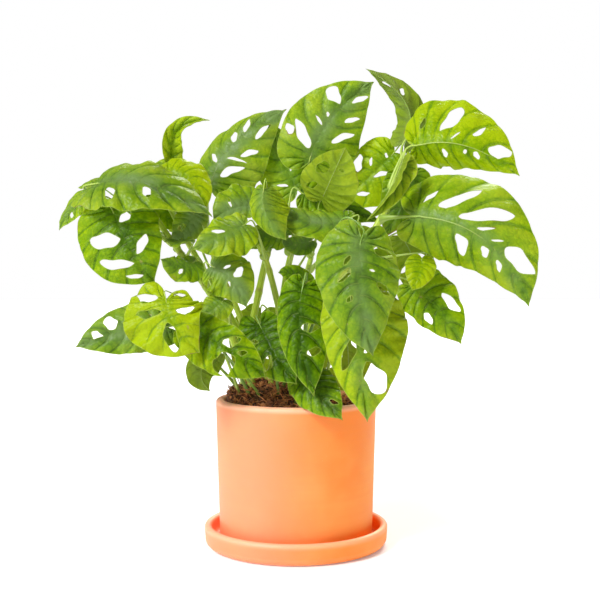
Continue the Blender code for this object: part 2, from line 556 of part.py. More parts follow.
def flat(along, out, shape):
    """Where a side vein is on the flat blade. along is where the vein ends on the edge, from -1/3 at the lobes to 1
    at the tip. out is how far it has run, from 0 at the midrib to 1 at the right edge or -1 at the left one. The
    vein leaves the midrib nearly square and bends forward. It returns the place along the blade, as a share of the
    length, and across it in millimetres."""
    edge = curve(EDGE, (1 + 3 * along) / 4)
    half = (out >= 0).astype(int)
    back = np.array(shape.get("lobes", (1, 1)))[half]
    end = np.where(edge[:, 0] < 0, edge[:, 0] * back, edge[:, 0])
    start = np.maximum(along, 0) ** VEIN_LEAN
    across = edge[:, 1] * out * np.array(shape["widths"])[half]
    return start + (end - start) * np.abs(out) ** VEIN_BEND, across


def midrib(shape):
    """The midrib's three control points and the leaf's upward direction before it is made square to the midrib."""
    base, middle, tip = (np.array(shape[key], float) for key in ("base", "middle", "tip"))
    return base, 2 * middle - (base + tip) / 2, tip, np.array(shape["faces"], float)


def bent(u, v, shape):
    """The flat blade's points in space. The midrib follows its curve, each half is folded up from it and curls down
    as an arc does, and the edge rises and falls."""
    base, pull, tip, faces = midrib(shape)
    w = np.maximum(u, 0)[:, None]
    centre = (1 - w) ** 2 * base + 2 * w * (1 - w) * pull + w ** 2 * tip
    centre += 2 * np.minimum(u, 0)[:, None] * (pull - base)
    ahead = unit((1 - w) * (pull - base) + w * (tip - pull))
    up = unit(faces - ahead * (ahead @ faces)[:, None])
    right = np.cross(ahead, up)
    half = (v >= 0).astype(int)
    fold = np.radians(np.array(shape["folds"]))[half]
    widths = np.array(shape["widths"])[half]
    bend = np.radians(np.array(shape["curls"]) + 0.01)[half] / widths
    reach = np.abs(v)
    across = (np.sin(fold) - np.sin(fold - bend * reach)) / bend
    lift = (np.cos(fold - bend * reach) - np.cos(fold)) / bend
    rise, count = shape["wave"]
    lift += rise * (reach / widths) ** 2 * np.sin(2 * math.pi * count * u + half * HALF_SHIFT)
    return centre + right * (np.sign(v) * across)[:, None] + up * lift[:, None]


def hole_outline(start, stop, width, shape, count):
    """The edge of one hole: an oval that runs from one place to another and keeps off the midrib, in the same terms
    as flat returns."""
    length = leaf_length(shape)
    half = int(start[1] + stop[1] > 0)
    way = 2 * half - 1
    scale = np.array([length, shape["widths"][half]])
    start, stop = np.array(start) * scale, np.array(stop) * scale
    run = stop - start
    side = unit(np.array([-run[1], run[0]])) * width * length / 2
    turn = np.linspace(0, 2 * math.pi, count, endpoint=False)[:, None]
    points = (start + stop) / 2 - run / 2 * np.cos(turn) + side * np.sin(turn)
    return points[:, 0] / length, np.maximum(points[:, 1] * way, MIDRIB_STRIP) * way


def triangles_between(places, lines, rims):
    """Triangles over flat places that keep the lines, inside the first rim and outside the others."""
    made = delaunay_2d_cdt(places.tolist(), lines, [], 0, 1e-6)
    source = np.array([ids[0] for ids in made[3]])
    triangles = source[np.array(made[2])]
    centres = places[triangles].mean(axis=1)
    inside = np.zeros(len(triangles), bool)
    for rim in rims:
        for a, b in zip(rim, rim[1:] + rim[:1]):
            (ax, ay), (bx, by) = places[a], places[b]
            crosses = (ay > centres[:, 1]) != (by > centres[:, 1])
            level = ax + (centres[:, 1] - ay) / (by - ay + (by == ay)) * (bx - ax)
            inside ^= crosses & (centres[:, 0] < level)
    return triangles[inside]


def thickened(middle, triangles):
    """Points and faces of a sheet with the blade's thickness round its middle surface."""
    corners = middle[triangles]
    facing = np.cross(corners[:, 1] - corners[:, 0], corners[:, 2] - corners[:, 0])
    normals = np.zeros_like(middle)
    for k in range(3):
        np.add.at(normals, triangles[:, k], facing)
    normals = unit(normals)
    points = np.vstack([middle + normals * BLADE / 2, middle - normals * BLADE / 2])
    under = len(middle)
    upper = [tuple(corner_ids) for corner_ids in triangles.tolist()]
    faces = upper + [(c + under, b + under, a + under) for a, b, c in upper]
    ways = {way for a, b, c in upper for way in ((a, b), (b, c), (c, a))}
    for a, b in sorted(ways):
        if (b, a) not in ways:
            faces += [(b, a, a + under), (b, a + under, b + under)]
    return points, faces


def blade(shape):
    """Points and faces of a closed leaf blade with its holes."""
    length = leaf_length(shape)
    rows, steps = (7, 9) if length > LARGE_LEAF else (4, 6)
    edge = (4 * np.linspace(0, 1, steps + 2)[1:-1] - 1) / 3
    right, left = flat(edge, np.ones(steps), shape), flat(edge, -np.ones(steps), shape)
    u = [np.linspace(0, 1, rows + 1), right[0], left[0][::-1]]
    v = [np.zeros(rows + 1), right[1], left[1][::-1]]
    total = rows + 1 + 2 * steps
    rims = [[0, *range(rows + 1, rows + 1 + steps), rows, *range(rows + 1 + steps, total)]]
    for start, stop, width in shape["holes"]:
        if width >= TINY_HOLE:
            count = 6 if width > WIDE_HOLE else 4
            side = hole_outline(start, stop, width, shape, count)
            u.append(side[0])
            v.append(side[1])
            rims.append(list(range(total, total + count)))
            total += count
    u, v = np.concatenate(u), np.concatenate(v)
    along, out = np.meshgrid(np.linspace(0.04, 0.88, rows), (-0.5, 0.5))
    inner_u, inner_v = flat(along.ravel(), out.ravel(), shape)
    clear = np.ones(len(inner_u), bool)
    for rim in rims[1:]:
        off_u = (inner_u - u[rim].mean()) / (np.ptp(u[rim]) / 2 + 0.05)
        off_v = (inner_v - v[rim].mean()) / (np.ptp(v[rim]) / 2 + 0.05 * length)
        clear &= off_u ** 2 + off_v ** 2 > 1
    u, v = np.concatenate([u, inner_u[clear]]), np.concatenate([v, inner_v[clear]])
    lines = [(k, k + 1) for k in range(rows)]
    lines += [way for rim in rims for way in zip(rim, rim[1:] + rim[:1])]
    return thickened(bent(u, v, shape), triangles_between(np.column_stack([u * length, v]), lines, rims))


def stalk_radius(shape):
    """A leaf stalk's radius at its foot, thicker on a longer leaf."""
    return STALK_FOOT + STALK_TAPER * leaf_length(shape)


def stalk(shape):
    """Points and faces of a leaf's stalk, from its stem or its hole in the potting mix to just inside the blade."""
    root, *passes = shape["stalk"]
    base, pull, _, faces = midrib(shape)
    ahead = unit(pull - base)
    up = unit(faces - ahead * np.dot(ahead, faces))
    near = base - min(STALK_APPROACH, leaf_length(shape) / 6) * ahead - BLADE * up
    into = base + 0.1 * (pull - base)
    if isinstance(root, str):
        centre, direction, radius = on_stem(root, passes[0])
        passes = passes[1:]
        toward = np.array(passes[0] if passes else near, float) - centre
        toward = unit(toward - direction * np.dot(direction, toward))
        start = [centre + toward * (radius + SEAT), centre + toward * (radius + SEAT + STALK_START)]
    else:
        start = list(rooted(*root))
        roots.append((*root, stalk_radius(shape)))
    path = sampled([*start, *passes, near, into])
    return tube(path, np.linspace(stalk_radius(shape), STALK_END, len(path)), STALK_SIDES)


for name, shape in LEAVES.items():
    leaf = solid(name, *blade(shape), "leaf")
    handle = solid(name + " stalk", *stalk(shape), "leaf")
    combine(leaf, [handle], "UNION")

soil = solid("soil", *soil_body(), "potting mix")
holes = []
for x, y, radius in roots:
    bottom, top = rooted(x, y)
    ends = [(x, y, bottom[2] - GAP), top]
    holes.append(solid("hole", *tube(ends, [radius + HOLE_CLEARANCE] * 2, HOLE_SIDES), "potting mix"))
combine(soil, holes, "DIFFERENCE")
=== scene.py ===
"""A potted Swiss cheese vine, monstera adansonii, dressed for its render: saucer, pot, potting mix, vine
stems and leaves, in the order in which it is put together. Shapes are worked out in millimetres, and meshes
are in metres."""
import math
from itertools import combinations

import bpy
import numpy as np
from mathutils.geometry import delaunay_2d_cdt
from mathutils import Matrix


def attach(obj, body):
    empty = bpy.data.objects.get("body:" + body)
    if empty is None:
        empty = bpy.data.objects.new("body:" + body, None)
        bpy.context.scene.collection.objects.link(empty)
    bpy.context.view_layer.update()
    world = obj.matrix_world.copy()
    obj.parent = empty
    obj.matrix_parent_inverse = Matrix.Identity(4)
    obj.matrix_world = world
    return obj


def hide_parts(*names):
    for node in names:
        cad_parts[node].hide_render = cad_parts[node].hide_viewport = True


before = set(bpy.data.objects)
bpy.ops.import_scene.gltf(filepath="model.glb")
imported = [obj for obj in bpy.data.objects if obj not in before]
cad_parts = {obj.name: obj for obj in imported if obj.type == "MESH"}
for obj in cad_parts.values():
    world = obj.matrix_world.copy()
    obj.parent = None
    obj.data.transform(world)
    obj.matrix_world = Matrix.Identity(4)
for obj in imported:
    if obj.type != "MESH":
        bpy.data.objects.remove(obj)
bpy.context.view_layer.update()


def placed(name, data):
    """A new object in the scene."""
    thing = bpy.data.objects.new(name, data)
    bpy.context.scene.collection.objects.link(thing)
    return thing


# Camera: level with the upper leaves, 0.85 m in front of the pot, looking slightly down, as in the
# photograph.
LOOKS_DOWN = 1.85
camera_data = bpy.data.cameras.new("camera")
camera_data.sensor_width = 36
camera_data.lens = 62.5
camera_data.clip_start = 0.01
camera = placed("camera", camera_data)
camera.location = (0.0033, -0.847, 0.226)
camera.rotation_euler = (math.radians(90 - LOOKS_DOWN), 0, 0)
bpy.context.scene.camera = camera


# Saucer: a shallow terracotta dish, thrown on a wheel and left unglazed. Its wall turns up from a low foot
# ring to a thick round rim. The clay has soft clouds and turning rings; its lips and sharp edges are painted
# paler as highlights, and its left side, towards the lamps, is painted paler as light.
MM = 0.001
ROUND_STEPS = 180
SAUCER_RADIUS, SAUCER_HEIGHT, SAUCER_WALL, SAUCER_FLOOR = 74.5, 17.5, 6.0, 5.0
FOOT_OUTSIDE, FOOT_MIDDLE, FOOT_INSIDE, FOOT_HEIGHT = 65, 62, 60, 0.8


def corner(radius, height, size, start, stop, count=9):
    """Points of a round corner: a centre plus size times the cosine and sine of each angle in degrees."""
    turn = np.radians(np.linspace(start, stop, count))
    return np.column_stack([radius + size * np.cos(turn), height + size * np.sin(turn)])


def filled(points, spacing=2.5):
    """A profile with points added on its straight runs, about a spacing apart and less than two."""
    rows = []
    for start, stop in zip(points[:-1], points[1:]):
        steps = max(1, int(np.linalg.norm(stop - start) / spacing))
        rows.append(start + (stop - start) * np.arange(steps)[:, None] / steps)
    return np.vstack([*rows, points[-1:]])


def ring_faces(rings, sides):
    """Quads between rings of points: point k of a ring, its neighbour, and the same two on the next."""
    low = np.arange((rings - 1) * sides).reshape(rings - 1, sides)
    after = np.roll(low, -1, axis=1)
    return np.stack([low, after, after + sides, low + sides], axis=-1).reshape(-1, 4).tolist()


def shell_faces(rings, sides):
    """Faces of a closed round shell: the quads between its rings, and a fan of triangles that joins the
    first ring to one pole and the last ring to another. The two poles come after the rings."""
    k = np.arange(sides)
    after, last, pole = (k + 1) % sides, (rings - 1) * sides, np.full(sides, rings * sides)
    fans = np.vstack([np.column_stack([after, k, pole]), np.column_stack([last + k, last + after, pole + 1])])
    return ring_faces(rings, sides) + fans.tolist()


def piece(name, points, faces, *materials):
    """An object from points in millimetres, shaded smooth, which rides on the plant's one body."""
    mesh = bpy.data.meshes.new(name)
    mesh.from_pydata((np.asarray(points) * MM).tolist(), [], faces)
    for material in materials:
        mesh.materials.append(material)
    mesh.shade_smooth()
    thing = placed(name, mesh)
    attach(thing, "root")
    return thing


def turned(name, profile, material, wobble):
    """A round piece: each profile point (radius, height) carried round the axis, with the hand's slight
    wobble, two slow waves in its radius. The profile's two ends lie on the axis and are the poles of the
    shell."""
    profile = filled(np.asarray(profile, float))
    inner = profile[1:-1]
    turn = np.linspace(0, 2 * math.pi, ROUND_STEPS, endpoint=False)
    radius = inner[:, :1] + wobble * (np.sin(2 * turn + inner[:, 1:] / 60) + 0.6 * np.sin(3 * turn + 1.1))
    height = np.broadcast_to(inner[:, 1:], radius.shape)
    rings = np.stack([radius * np.cos(turn), radius * np.sin(turn), height], axis=-1)[:, ::-1]
    points = np.vstack([rings.reshape(-1, 3), (0, 0, profile[0, 1]), (0, 0, profile[-1, 1])])
    return piece(name, points, shell_faces(len(inner), ROUND_STEPS), material)


def feed(node, **inputs):
    """Set a node's inputs to values, or link them to outputs of other nodes. An input is named with
    underscores for its spaces, or by an underscore and its number."""
    for key, value in inputs.items():
        socket = node.inputs[int(key[1:]) if key[0] == "_" else key.replace("_", " ")]
        if isinstance(value, bpy.types.NodeSocket):
            node.id_data.links.new(value, socket)
        else:
            socket.default_value = value


def node_maker(tree):
    """A function that adds a node to this tree, with its properties from a dict and its inputs fed."""

    def add(kind, settings=None, **inputs):
        node = tree.nodes.new("ShaderNode" + kind)
        for key, value in (settings or {}).items():
            setattr(node, key, value)
        feed(node, **inputs)
        return node

    return add


def new_material(name):
    """A procedural material, its Principled shader and a function that adds a node to it."""
    material = bpy.data.materials.new(name)
    material.use_nodes = True
    return material, material.node_tree.nodes["Principled BSDF"], node_maker(material.node_tree)


def mixed(add, share, first, second):
    """The output of a colour mix: first where the share is 0 and second where it is 1."""
    return add("Mix", {"data_type": "RGBA"}, _0=share, _6=first, _7=second).outputs[2]


def ramp(add, value, low, high, to_low=0, to_high=1):
    """The output of a smooth step, from to_low where the value is low to to_high where it is high."""
    step = {"interpolation_type": "SMOOTHSTEP"}
    return add("MapRange", step, Value=value, _1=low, _2=high, _3=to_low, _4=to_high).outputs[0]


def worked(add, operation, *terms):
    """The output of a Math node: the operation on its terms."""
    return add("Math", {"operation": operation}, **{f"_{k}": term for k, term in enumerate(terms)}).outputs[0]


def noise(add, place, scale, detail, roughness):
    """The output of a cloudy noise, from 0 to 1, whose clouds are one over the scale across."""
    return add("TexNoise", Vector=place, Scale=scale, Detail=detail, Roughness=roughness).outputs["Fac"]


clay, clay_shader, add = new_material("terracotta")
place = add("TexCoord").outputs["Object"]
cloud = noise(add, place, 14, 3, 0.55)
grain = noise(add, place, 900, 4, 0.6)
rings = noise(add, add("Mapping", Vector=place, Scale=(4, 4, 260)).outputs["Vector"], 1, 3, 0.5)
warm = mixed(add, ramp(add, cloud, 0.35, 0.68), (0.97, 0.235, 0.003, 1), (1, 0.325, 0.045, 1))
warm = mixed(add, ramp(add, rings, 0.3, 0.75, 0, 0.2), warm, (0.92, 0.22, 0.02, 1))
warm = mixed(add, ramp(add, grain, 0.62, 0.8, 0, 0.35), warm, (1, 0.54, 0.26, 1))
parts = add("SeparateXYZ", Vector=place).outputs
# Painted light: the left side, which faces the main lamps, is painted paler.
painted_light_left = ramp(add, parts["X"], -0.04, 0.05, 0.6, 0)
warm = mixed(add, painted_light_left, warm, (1, 0.305, 0.205, 1))
# The lips are painted paler as a highlight: the saucer's, further out than 67 mm and above 12 mm, and the
# pot's, above 113.5 mm.
level = add("VectorMath", {"operation": "MULTIPLY"}, _0=place, _1=(1, 1, 0)).outputs[0]
radius = add("VectorMath", {"operation": "LENGTH"}, _0=level).outputs["Value"]
outside = ramp(add, radius, 0.067, 0.070, 0, 0.6)
saucer_lip_highlight = worked(add, "MULTIPLY", outside, ramp(add, parts["Z"], 0.012, 0.019))
lip_highlight = worked(add, "MAXIMUM", ramp(add, parts["Z"], 0.1135, 0.1165, 0, 0.65), saucer_lip_highlight)
warm = mixed(add, lip_highlight, warm, (1, 0.50, 0.32, 1))
# Painted highlight: sharp convex edges, found by their pointiness, are painted paler.
edges = ramp(add, add("NewGeometry").outputs["Pointiness"], 0.505, 0.55, 0, 0.7)
warm = mixed(add, edges, warm, (1, 0.66, 0.44, 1))
relief = worked(add, "MULTIPLY_ADD", rings, 1.6, grain)
feed(clay_shader, Base_Color=warm, Roughness=ramp(add, cloud, 0.2, 0.8, 0.44, 0.6), Specular_IOR_Level=0.45,
     Normal=add("Bump", Height=relief, Strength=0.25, Distance=0.0004).outputs["Normal"],
     Subsurface_Weight=0.25, Subsurface_Radius=(1, 0.35, 0.12), Subsurface_Scale=0.004)

rim, belly, hollow = SAUCER_WALL / 2, 6.5, 4
saucer_profile = np.vstack([
    (0, SAUCER_FLOOR), corner(SAUCER_RADIUS - SAUCER_WALL - hollow, SAUCER_FLOOR + hollow, hollow, -90, 0),
    corner(SAUCER_RADIUS - rim, SAUCER_HEIGHT - rim, rim, 180, 0, 15),
    corner(SAUCER_RADIUS - 0.5 - belly, belly, belly, 0, -60),
    corner(FOOT_OUTSIDE, FOOT_HEIGHT, FOOT_HEIGHT, -20, -90, 5), (FOOT_MIDDLE, 0), (FOOT_INSIDE, FOOT_HEIGHT),
    (0, FOOT_HEIGHT),
])
saucer = turned("saucer_clay", saucer_profile, clay, 0.12)
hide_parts("saucer")

# Pot: a thick-walled terracotta cylinder that widens slightly towards its rounded lip, of the same clay as
# the saucer and standing in it. Its inside wall shows above the potting mix.
POT_RADIUS, POT_BASE_RADIUS, POT_TOP, POT_WALL, POT_FLOOR = 65.0, 62.0, 119.0, 7.5, 8.0
POT_BASE, POT_CORNER = 5.3, 3
lip = POT_WALL / 2
inside = POT_BASE_RADIUS - POT_WALL
pot_profile = np.vstack([
    (0, POT_BASE + POT_FLOOR),
    corner(inside - POT_CORNER, POT_BASE + POT_FLOOR + POT_CORNER, POT_CORNER, -90, 0),
    corner(POT_RADIUS - lip, POT_TOP - lip, lip, 180, 90),
    corner(POT_RADIUS - POT_CORNER, POT_TOP - POT_CORNER, POT_CORNER, 90, 0),
    corner(POT_BASE_RADIUS - POT_CORNER, POT_BASE + POT_CORNER, POT_CORNER, 0, -90),
    (0, POT_BASE),
])
pot = turned("pot_clay", pot_profile, clay, 0.15)
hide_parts("pot")

# Potting mix: coarse coir and bark chips, loose over a dark bed, heaped round the vines a little left of the
# middle. The bed is one closed piece that fills the pot, painted darker in its hollows as shade, and chips
# and fibres lie on it.
SOIL_EDGE, SOIL_SIDES, SOIL_RINGS, SOIL_GAP = 111.0, 96, 46, 0.3
BED_RADIUS = POT_RADIUS - POT_WALL - 1
rng = np.random.default_rng(7)


def soil_height(x, y):
    """Height of the mix: a level bed, a bell-shaped mound, and slow crossed waves for its unevenness."""
    mound = np.exp(-((x + 24) / 30) ** 2 / 2 - ((y - 4) / 26) ** 2 / 2)
    crumbs = np.sin(0.61 * x + 1.3) * np.cos(0.47 * y) + 0.6 * np.sin(0.83 * y - 0.39 * x)
    return SOIL_EDGE + 16 * mound + 1.2 * crumbs


def clods(x, y):
    """Height of the loose top over that: a bell on the mound, and the absolute values of four crossed
    waves, which make round clods 1 to 4 mm across with sharp gaps between them."""
    height = 5.5 * np.exp(-((x + 22) / 26) ** 2 / 2 - ((y + 6) / 24) ** 2 / 2)
    waves = (1.3, 0.43, 0.71, 0), (1, 0.92, -0.37, 1), (0.7, 0.6, 1.31, 0), (0.6, 2.1, -1.4, 0)
    for size, by_x, by_y, start in waves:
        height = height + size * np.abs(np.sin(by_x * x + by_y * y + start))
    return height - 2.2


def loose_top(x, y):
    """Height of the bed that the chips and fibres lie on."""
    return soil_height(x, y) + clods(x, y)


bottom = POT_BASE + POT_FLOOR + SOIL_GAP
turn = np.linspace(0, 2 * math.pi, SOIL_SIDES, endpoint=False)
lowest = inside - POT_CORNER - SOIL_GAP, inside - SOIL_GAP
radii = np.array([*lowest, *np.linspace(BED_RADIUS, 1, SOIL_RINGS)])[:, None]
x, y = radii * np.cos(turn), radii * np.sin(turn)
z = loose_top(x, y)
z[0], z[1] = bottom, bottom + POT_CORNER
points = np.vstack([np.stack([x, y, z], axis=-1).reshape(-1, 3), (0, 0, bottom), (0, 0, soil_height(0, 0))])


def give(mesh, name, values):
    """Store one number for each point of a mesh, for its material to read."""
    layer = mesh.attributes.new(name, "FLOAT", "POINT")
    layer.data.foreach_set("value", np.asarray(values, np.float32).ravel())


def stored(add, name):
    """The output of the number that was stored for each point under this name."""
    return add("Attribute", {"attribute_name": name}).outputs["Fac"]


mix, mix_shader, add = new_material("potting mix")
place = add("TexCoord").outputs["Object"]
coarse = noise(add, place, 260, 5, 0.65)
fine = noise(add, place, 1500, 3, 0.6)
speck = mixed(add, stored(add, "shade"), (0.014, 0.005, 0.003, 1), (0.66, 0.26, 0.085, 1))
speck = mixed(add, ramp(add, coarse, 0.45, 0.7, 0, 0.6), speck, (0.26, 0.06, 0.022, 1))
speck = mixed(add, ramp(add, fine, 0.55, 0.75, 0, 0.35), speck, (0.80, 0.45, 0.2, 1))
feed(mix_shader, Base_Color=speck, Roughness=ramp(add, coarse, 0.3, 0.7, 0.75, 0.95),
     Normal=add("Bump", Height=fine, Strength=0.6, Distance=0.0004).outputs["Normal"])

soil = piece("mix_bed", points, shell_faces(len(radii), SOIL_SIDES), mix)
# Painted shade: the bed is darker where its clods are low, in the gaps between them.
high = np.sqrt(np.clip(clods(points[:, 0], points[:, 1]) + 2.0, 0, 3) / 3)
give(soil.data, "shade", 0.01 + 0.14 * high)
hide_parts("soil")


def scattered(count, near, reach):
    """Places on the bed: their distance from a middle is the reach times the root of a uniform number, so
    they are spread evenly, and those that would lie on the pot's wall are pulled in."""
    angle = rng.uniform(0, 2 * math.pi, count)
    away = reach * np.sqrt(rng.uniform(0, 1, count))
    x, y = near[0] + away * np.cos(angle), near[1] + away * np.sin(angle)
    pull = np.minimum(1, inside / np.hypot(x, y))
    return x * pull, y * pull


# Each chip is an icosahedron, stretched, dented and turned. Its 12 corners are those of three crossed
# rectangles in the golden ratio, and its faces join the corners that are near each other.
CHIPS = 1900
golden = (1 + math.sqrt(5)) / 2
lump = np.array([np.roll((a, b * golden, 0), k) for k in range(3) for b in (1, -1) for a in (-1, 1)])
lump /= math.hypot(1, golden)
near = np.linalg.norm(lump[:, None] - lump, axis=-1) < 1.2
lump_faces = np.array([
    three if np.linalg.det(lump[list(three)]) > 0 else three[::-1]
    for three in combinations(range(len(lump)), 3) if near[np.ix_(three, three)].all()
])
x, y = scattered(CHIPS, (0, 0), 56)
size = rng.uniform(1.0, 3.7, (CHIPS, 1, 1)) * rng.uniform(0.45, 1.0, (CHIPS, 1, 3)) * (1, 1, 0.75)
dents = rng.uniform(0.72, 1.15, (CHIPS, len(lump), 1))
turned_by, _ = np.linalg.qr(rng.normal(size=(CHIPS, 3, 3)))
turned_by *= np.sign(np.linalg.det(turned_by))[:, None, None]
chips = (lump * dents * size) @ turned_by
chips += np.column_stack([x, y, loose_top(x, y) + rng.uniform(-0.2, 1.6, CHIPS)])[:, None]
chip_faces = lump_faces + len(lump) * np.arange(CHIPS)[:, None, None]
bark = piece("mix_chips", chips.reshape(-1, 3), chip_faces.reshape(-1, 3).tolist(), mix)
bark.data.shade_flat()
give(bark.data, "shade", np.repeat(rng.uniform(0.05, 1.0, CHIPS) ** 1.7, len(lump)))

FIBRES, FIBRE_RINGS, FIBRE_SIDES = 1100, 7, 4


def unit(vector):
    """A vector, or rows of vectors, divided by their length."""
    return vector / np.maximum(np.linalg.norm(vector, axis=-1, keepdims=True), 1e-9)


def hairs(starts, heading, bends, lengths, radii):
    """Points and faces of many thin tubes at once: each runs from its start along its heading, which two
    cosine bends turn sideways and up, and narrows to both ends."""
    s = np.linspace(0, 1, FIBRE_RINGS)[None, :, None]
    side = unit(np.cross(heading, (0, 0, 1.0)))[:, None]
    path = starts[:, None] + heading[:, None] * s * lengths[:, None, None]
    path = path + side * (1 - np.cos(2.4 * s)) * bends[:, :1, None]
    path = path + (1 - np.cos(3.0 * s)) * bends[:, 1:, None] * (0, 0, 1.0)
    along = unit(np.gradient(path, axis=1))
    across = unit(np.cross(along, (0.3, 0.2, 0.9)))
    above = np.cross(along, across)
    turn = np.linspace(0, 2 * math.pi, FIBRE_SIDES, endpoint=False)[:, None]
    round_it = np.cos(turn) * across[:, :, None] + np.sin(turn) * above[:, :, None]
    thick = (radii[:, None] * (0.35 + 0.65 * np.sin(math.pi * s[..., 0]) ** 0.5))[..., None, None]
    points = path[:, :, None] + thick * round_it
    each = FIBRE_RINGS * FIBRE_SIDES
    ends = [list(range(FIBRE_SIDES))[::-1], list(range(each - FIBRE_SIDES, each))]
    faces = np.array(ring_faces(FIBRE_RINGS, FIBRE_SIDES) + ends)
    faces = faces + each * np.arange(len(starts))[:, None, None]
    return points.reshape(-1, 3), faces.reshape(-1, 4).tolist()


x, y = scattered(FIBRES, (-6, 0), 54)
angle, lift = rng.uniform(0, 2 * math.pi, FIBRES), rng.uniform(-0.15, 0.45, FIBRES)
heading = unit(np.column_stack([np.cos(angle), np.sin(angle), lift]))
lengths = rng.uniform(4, 15, FIBRES)
lengths = np.minimum(lengths, np.maximum(BED_RADIUS - np.hypot(x, y), 3))
starts = np.column_stack([x, y, loose_top(x, y) + rng.uniform(0.2, 1.6, FIBRES)])
bends = rng.uniform(-2, 2, (FIBRES, 2))
fibres = piece("mix_fibres", *hairs(starts, heading, bends, lengths, rng.uniform(0.18, 0.5, FIBRES)), mix)
give(fibres.data, "shade", np.repeat(rng.uniform(0.3, 1.3, FIBRES), FIBRE_RINGS * FIBRE_SIDES))

# Vines: eight round stems of this year's and last year's growth, fresh green with paler streaks. A ring
# marks each node, where a leaf's stalk leaves or has left, and each stands in its own hole in the mix.

# Each stem's route from the mix up, its radius at its foot and its radius at its end.
STEMS = dict(
    left=(((-36, -8, 119), (-42, -9, 143), (-54, -9, 175), (-71, -7, 207), (-87, -4, 228), (-104, 0, 251),
        (-122, 2, 276)), 3.4, 2.4),
    left_inner=(((-29, 4, 120), (-34, 5, 141), (-48, 7, 174), (-67, 10, 207), (-80, 10, 230),
        (-92, 8, 252), (-104, 8, 276)), 3.2, 2.3),
    arch=(((-20, -9, 120), (-32, 0, 150), (-48, 2, 191), (-61, 1, 219), (-70, 4, 243), (-77, 10, 268)),
        2.9, 2),
    centre_left=(((-43, 12, 119), (-40, 16, 160), (-34, 15, 189), (-26, 14, 227), (-20, 17, 251),
        (-14, 26, 272)), 3.6, 2.3),
    centre_low=(((-2, -4, 118), (-8, -3, 160), (-15, -2, 196), (-23, -5, 227), (-30, -8, 243)), 3.2, 2.2),
    centre=(((-22, 12, 121), (-15, 10, 165), (-11, 9, 198), (-7, 9, 223), (-2, 11, 245), (2, 20, 270)),
        3.3, 2.3),
    right=(((4, 8, 116), (7, 0, 160), (19, -3, 200), (44, 0, 227), (65, 2, 258), (80, 4, 288),
        (90, 5, 312)), 3.3, 2.4),
    back=(((-6, 26, 118), (-4, 34, 160), (4, 42, 200), (14, 50, 238)), 3.2, 2.2),
)
HOLE_DEPTH, CLEAR_ABOVE = 16.0, 6.0
STEM_SIDES, STEM_RINGS = 20, 110


def curve(points, at):
    """A smooth curve through the points (Catmull-Rom: cubic spans whose slope at a point is that between
    its neighbours), read at numbers from 0 at its start to 1 at its end."""
    points = np.asarray(points, float)
    points = np.vstack([2 * points[0] - points[1], points, 2 * points[-1] - points[-2]])
    where = np.clip(at, 0, 1) * (len(points) - 3)
    span = np.minimum(where.astype(int), len(points) - 4)
    f = (where - span)[:, None]
    a, b, c, d = (points[span + k] for k in range(4))
    return b + 0.5 * f * (c - a + f * (2 * a - 5 * b + 4 * c - d + f * (3 * (b - c) + d - a)))


def sampled(route):
    """The curve through a route, read at each point and halfway along every span but the first and the
    last. The solids' stems follow it, and the stalks are placed on it by their share of its points."""
    spans = len(route) - 1
    at = [0, *[k / 2 for k in range(2, 2 * spans - 1)], spans]
    return curve(route, np.array(at) / spans)


def way_along(path):
    """How far along its path each point is."""
    return np.concatenate([[0], np.cumsum(np.linalg.norm(np.diff(path, axis=0), axis=1))])


def rooted(x, y):
    """The two lowest points of a stem that stands in the mix."""
    top = float(soil_height(x, y))
    return (x, y, top - HOLE_DEPTH + SOIL_GAP), (x, y, top + CLEAR_ABOVE)


def tube(path, radii, sides):
    """Points, faces and UV of a closed round tube: rings of points round the path, square to it, which turn
    with it as little as they can. U runs from 1 to 0 and back round it, and V is the way along in mm."""
    path = np.asarray(path, float)
    along = unit(np.gradient(path, axis=0))
    side = np.cross(along[0], (0.31, 0.95, 0.05))
    turn = np.linspace(0, 2 * math.pi, sides, endpoint=False)[:, None]
    rings = []
    for centre, direction, radius in zip(path, along, radii):
        side = unit(side - direction * np.dot(side, direction))
        rings.append(centre + radius * (np.cos(turn) * side + np.sin(turn) * np.cross(direction, side)))
    way = way_along(path)
    poles = np.array([path[0] - along[0] * radii[0] * 0.3, path[-1] + along[-1] * radii[-1] * 0.8])
    u = np.tile(np.abs(np.linspace(-1, 1, sides, endpoint=False)), len(path))
    uv = np.column_stack([np.append(u, [0.5, 0.5]), np.append(np.repeat(way, sides), [way[0], way[-1]])])
    return np.vstack([*rings, poles]), shell_faces(len(path), sides), uv


def give_uv(mesh, corner_uv):
    """Store a UV for each corner of each face of a mesh."""
    layer = mesh.uv_layers.new(name="UVMap")
    layer.data.foreach_set("uv", np.asarray(corner_uv, np.float32).ravel())


# The lengthwise streaks of stems and leaf stalks: a noise on their UV, drawn out along V, sets the colour,
# the roughness and a low relief.
streaks = bpy.data.node_groups.new("lengthwise streaks", "ShaderNodeTree")
for way, sockets in (
    ("INPUT", {"Closeness": "Vector", "Dull": "Color", "Bright": "Color", "Relief": "Float"}),
    ("OUTPUT", {"Skin": "Color", "Roughness": "Float", "Normal": "Vector"}),
):
    for label, kind in sockets.items():
        streaks.interface.new_socket(label, in_out=way, socket_type="NodeSocket" + kind)
add = node_maker(streaks)
given = streaks.nodes.new("NodeGroupInput").outputs
drawn_out = add("Mapping", Vector=add("UVMap", {"uv_map": "UVMap"}).outputs["UV"], Scale=given["Closeness"])
streak = noise(add, drawn_out.outputs["Vector"], 1, 3, 0.55)
feed(streaks.nodes.new("NodeGroupOutput"), Roughness=ramp(add, streak, 0.2, 0.8, 0.35, 0.5),
     Skin=mixed(add, ramp(add, streak, 0.37, 0.63), given["Dull"], given["Bright"]),
     Normal=add("Bump", Height=streak, Strength=0.3, Distance=given["Relief"]).outputs["Normal"])

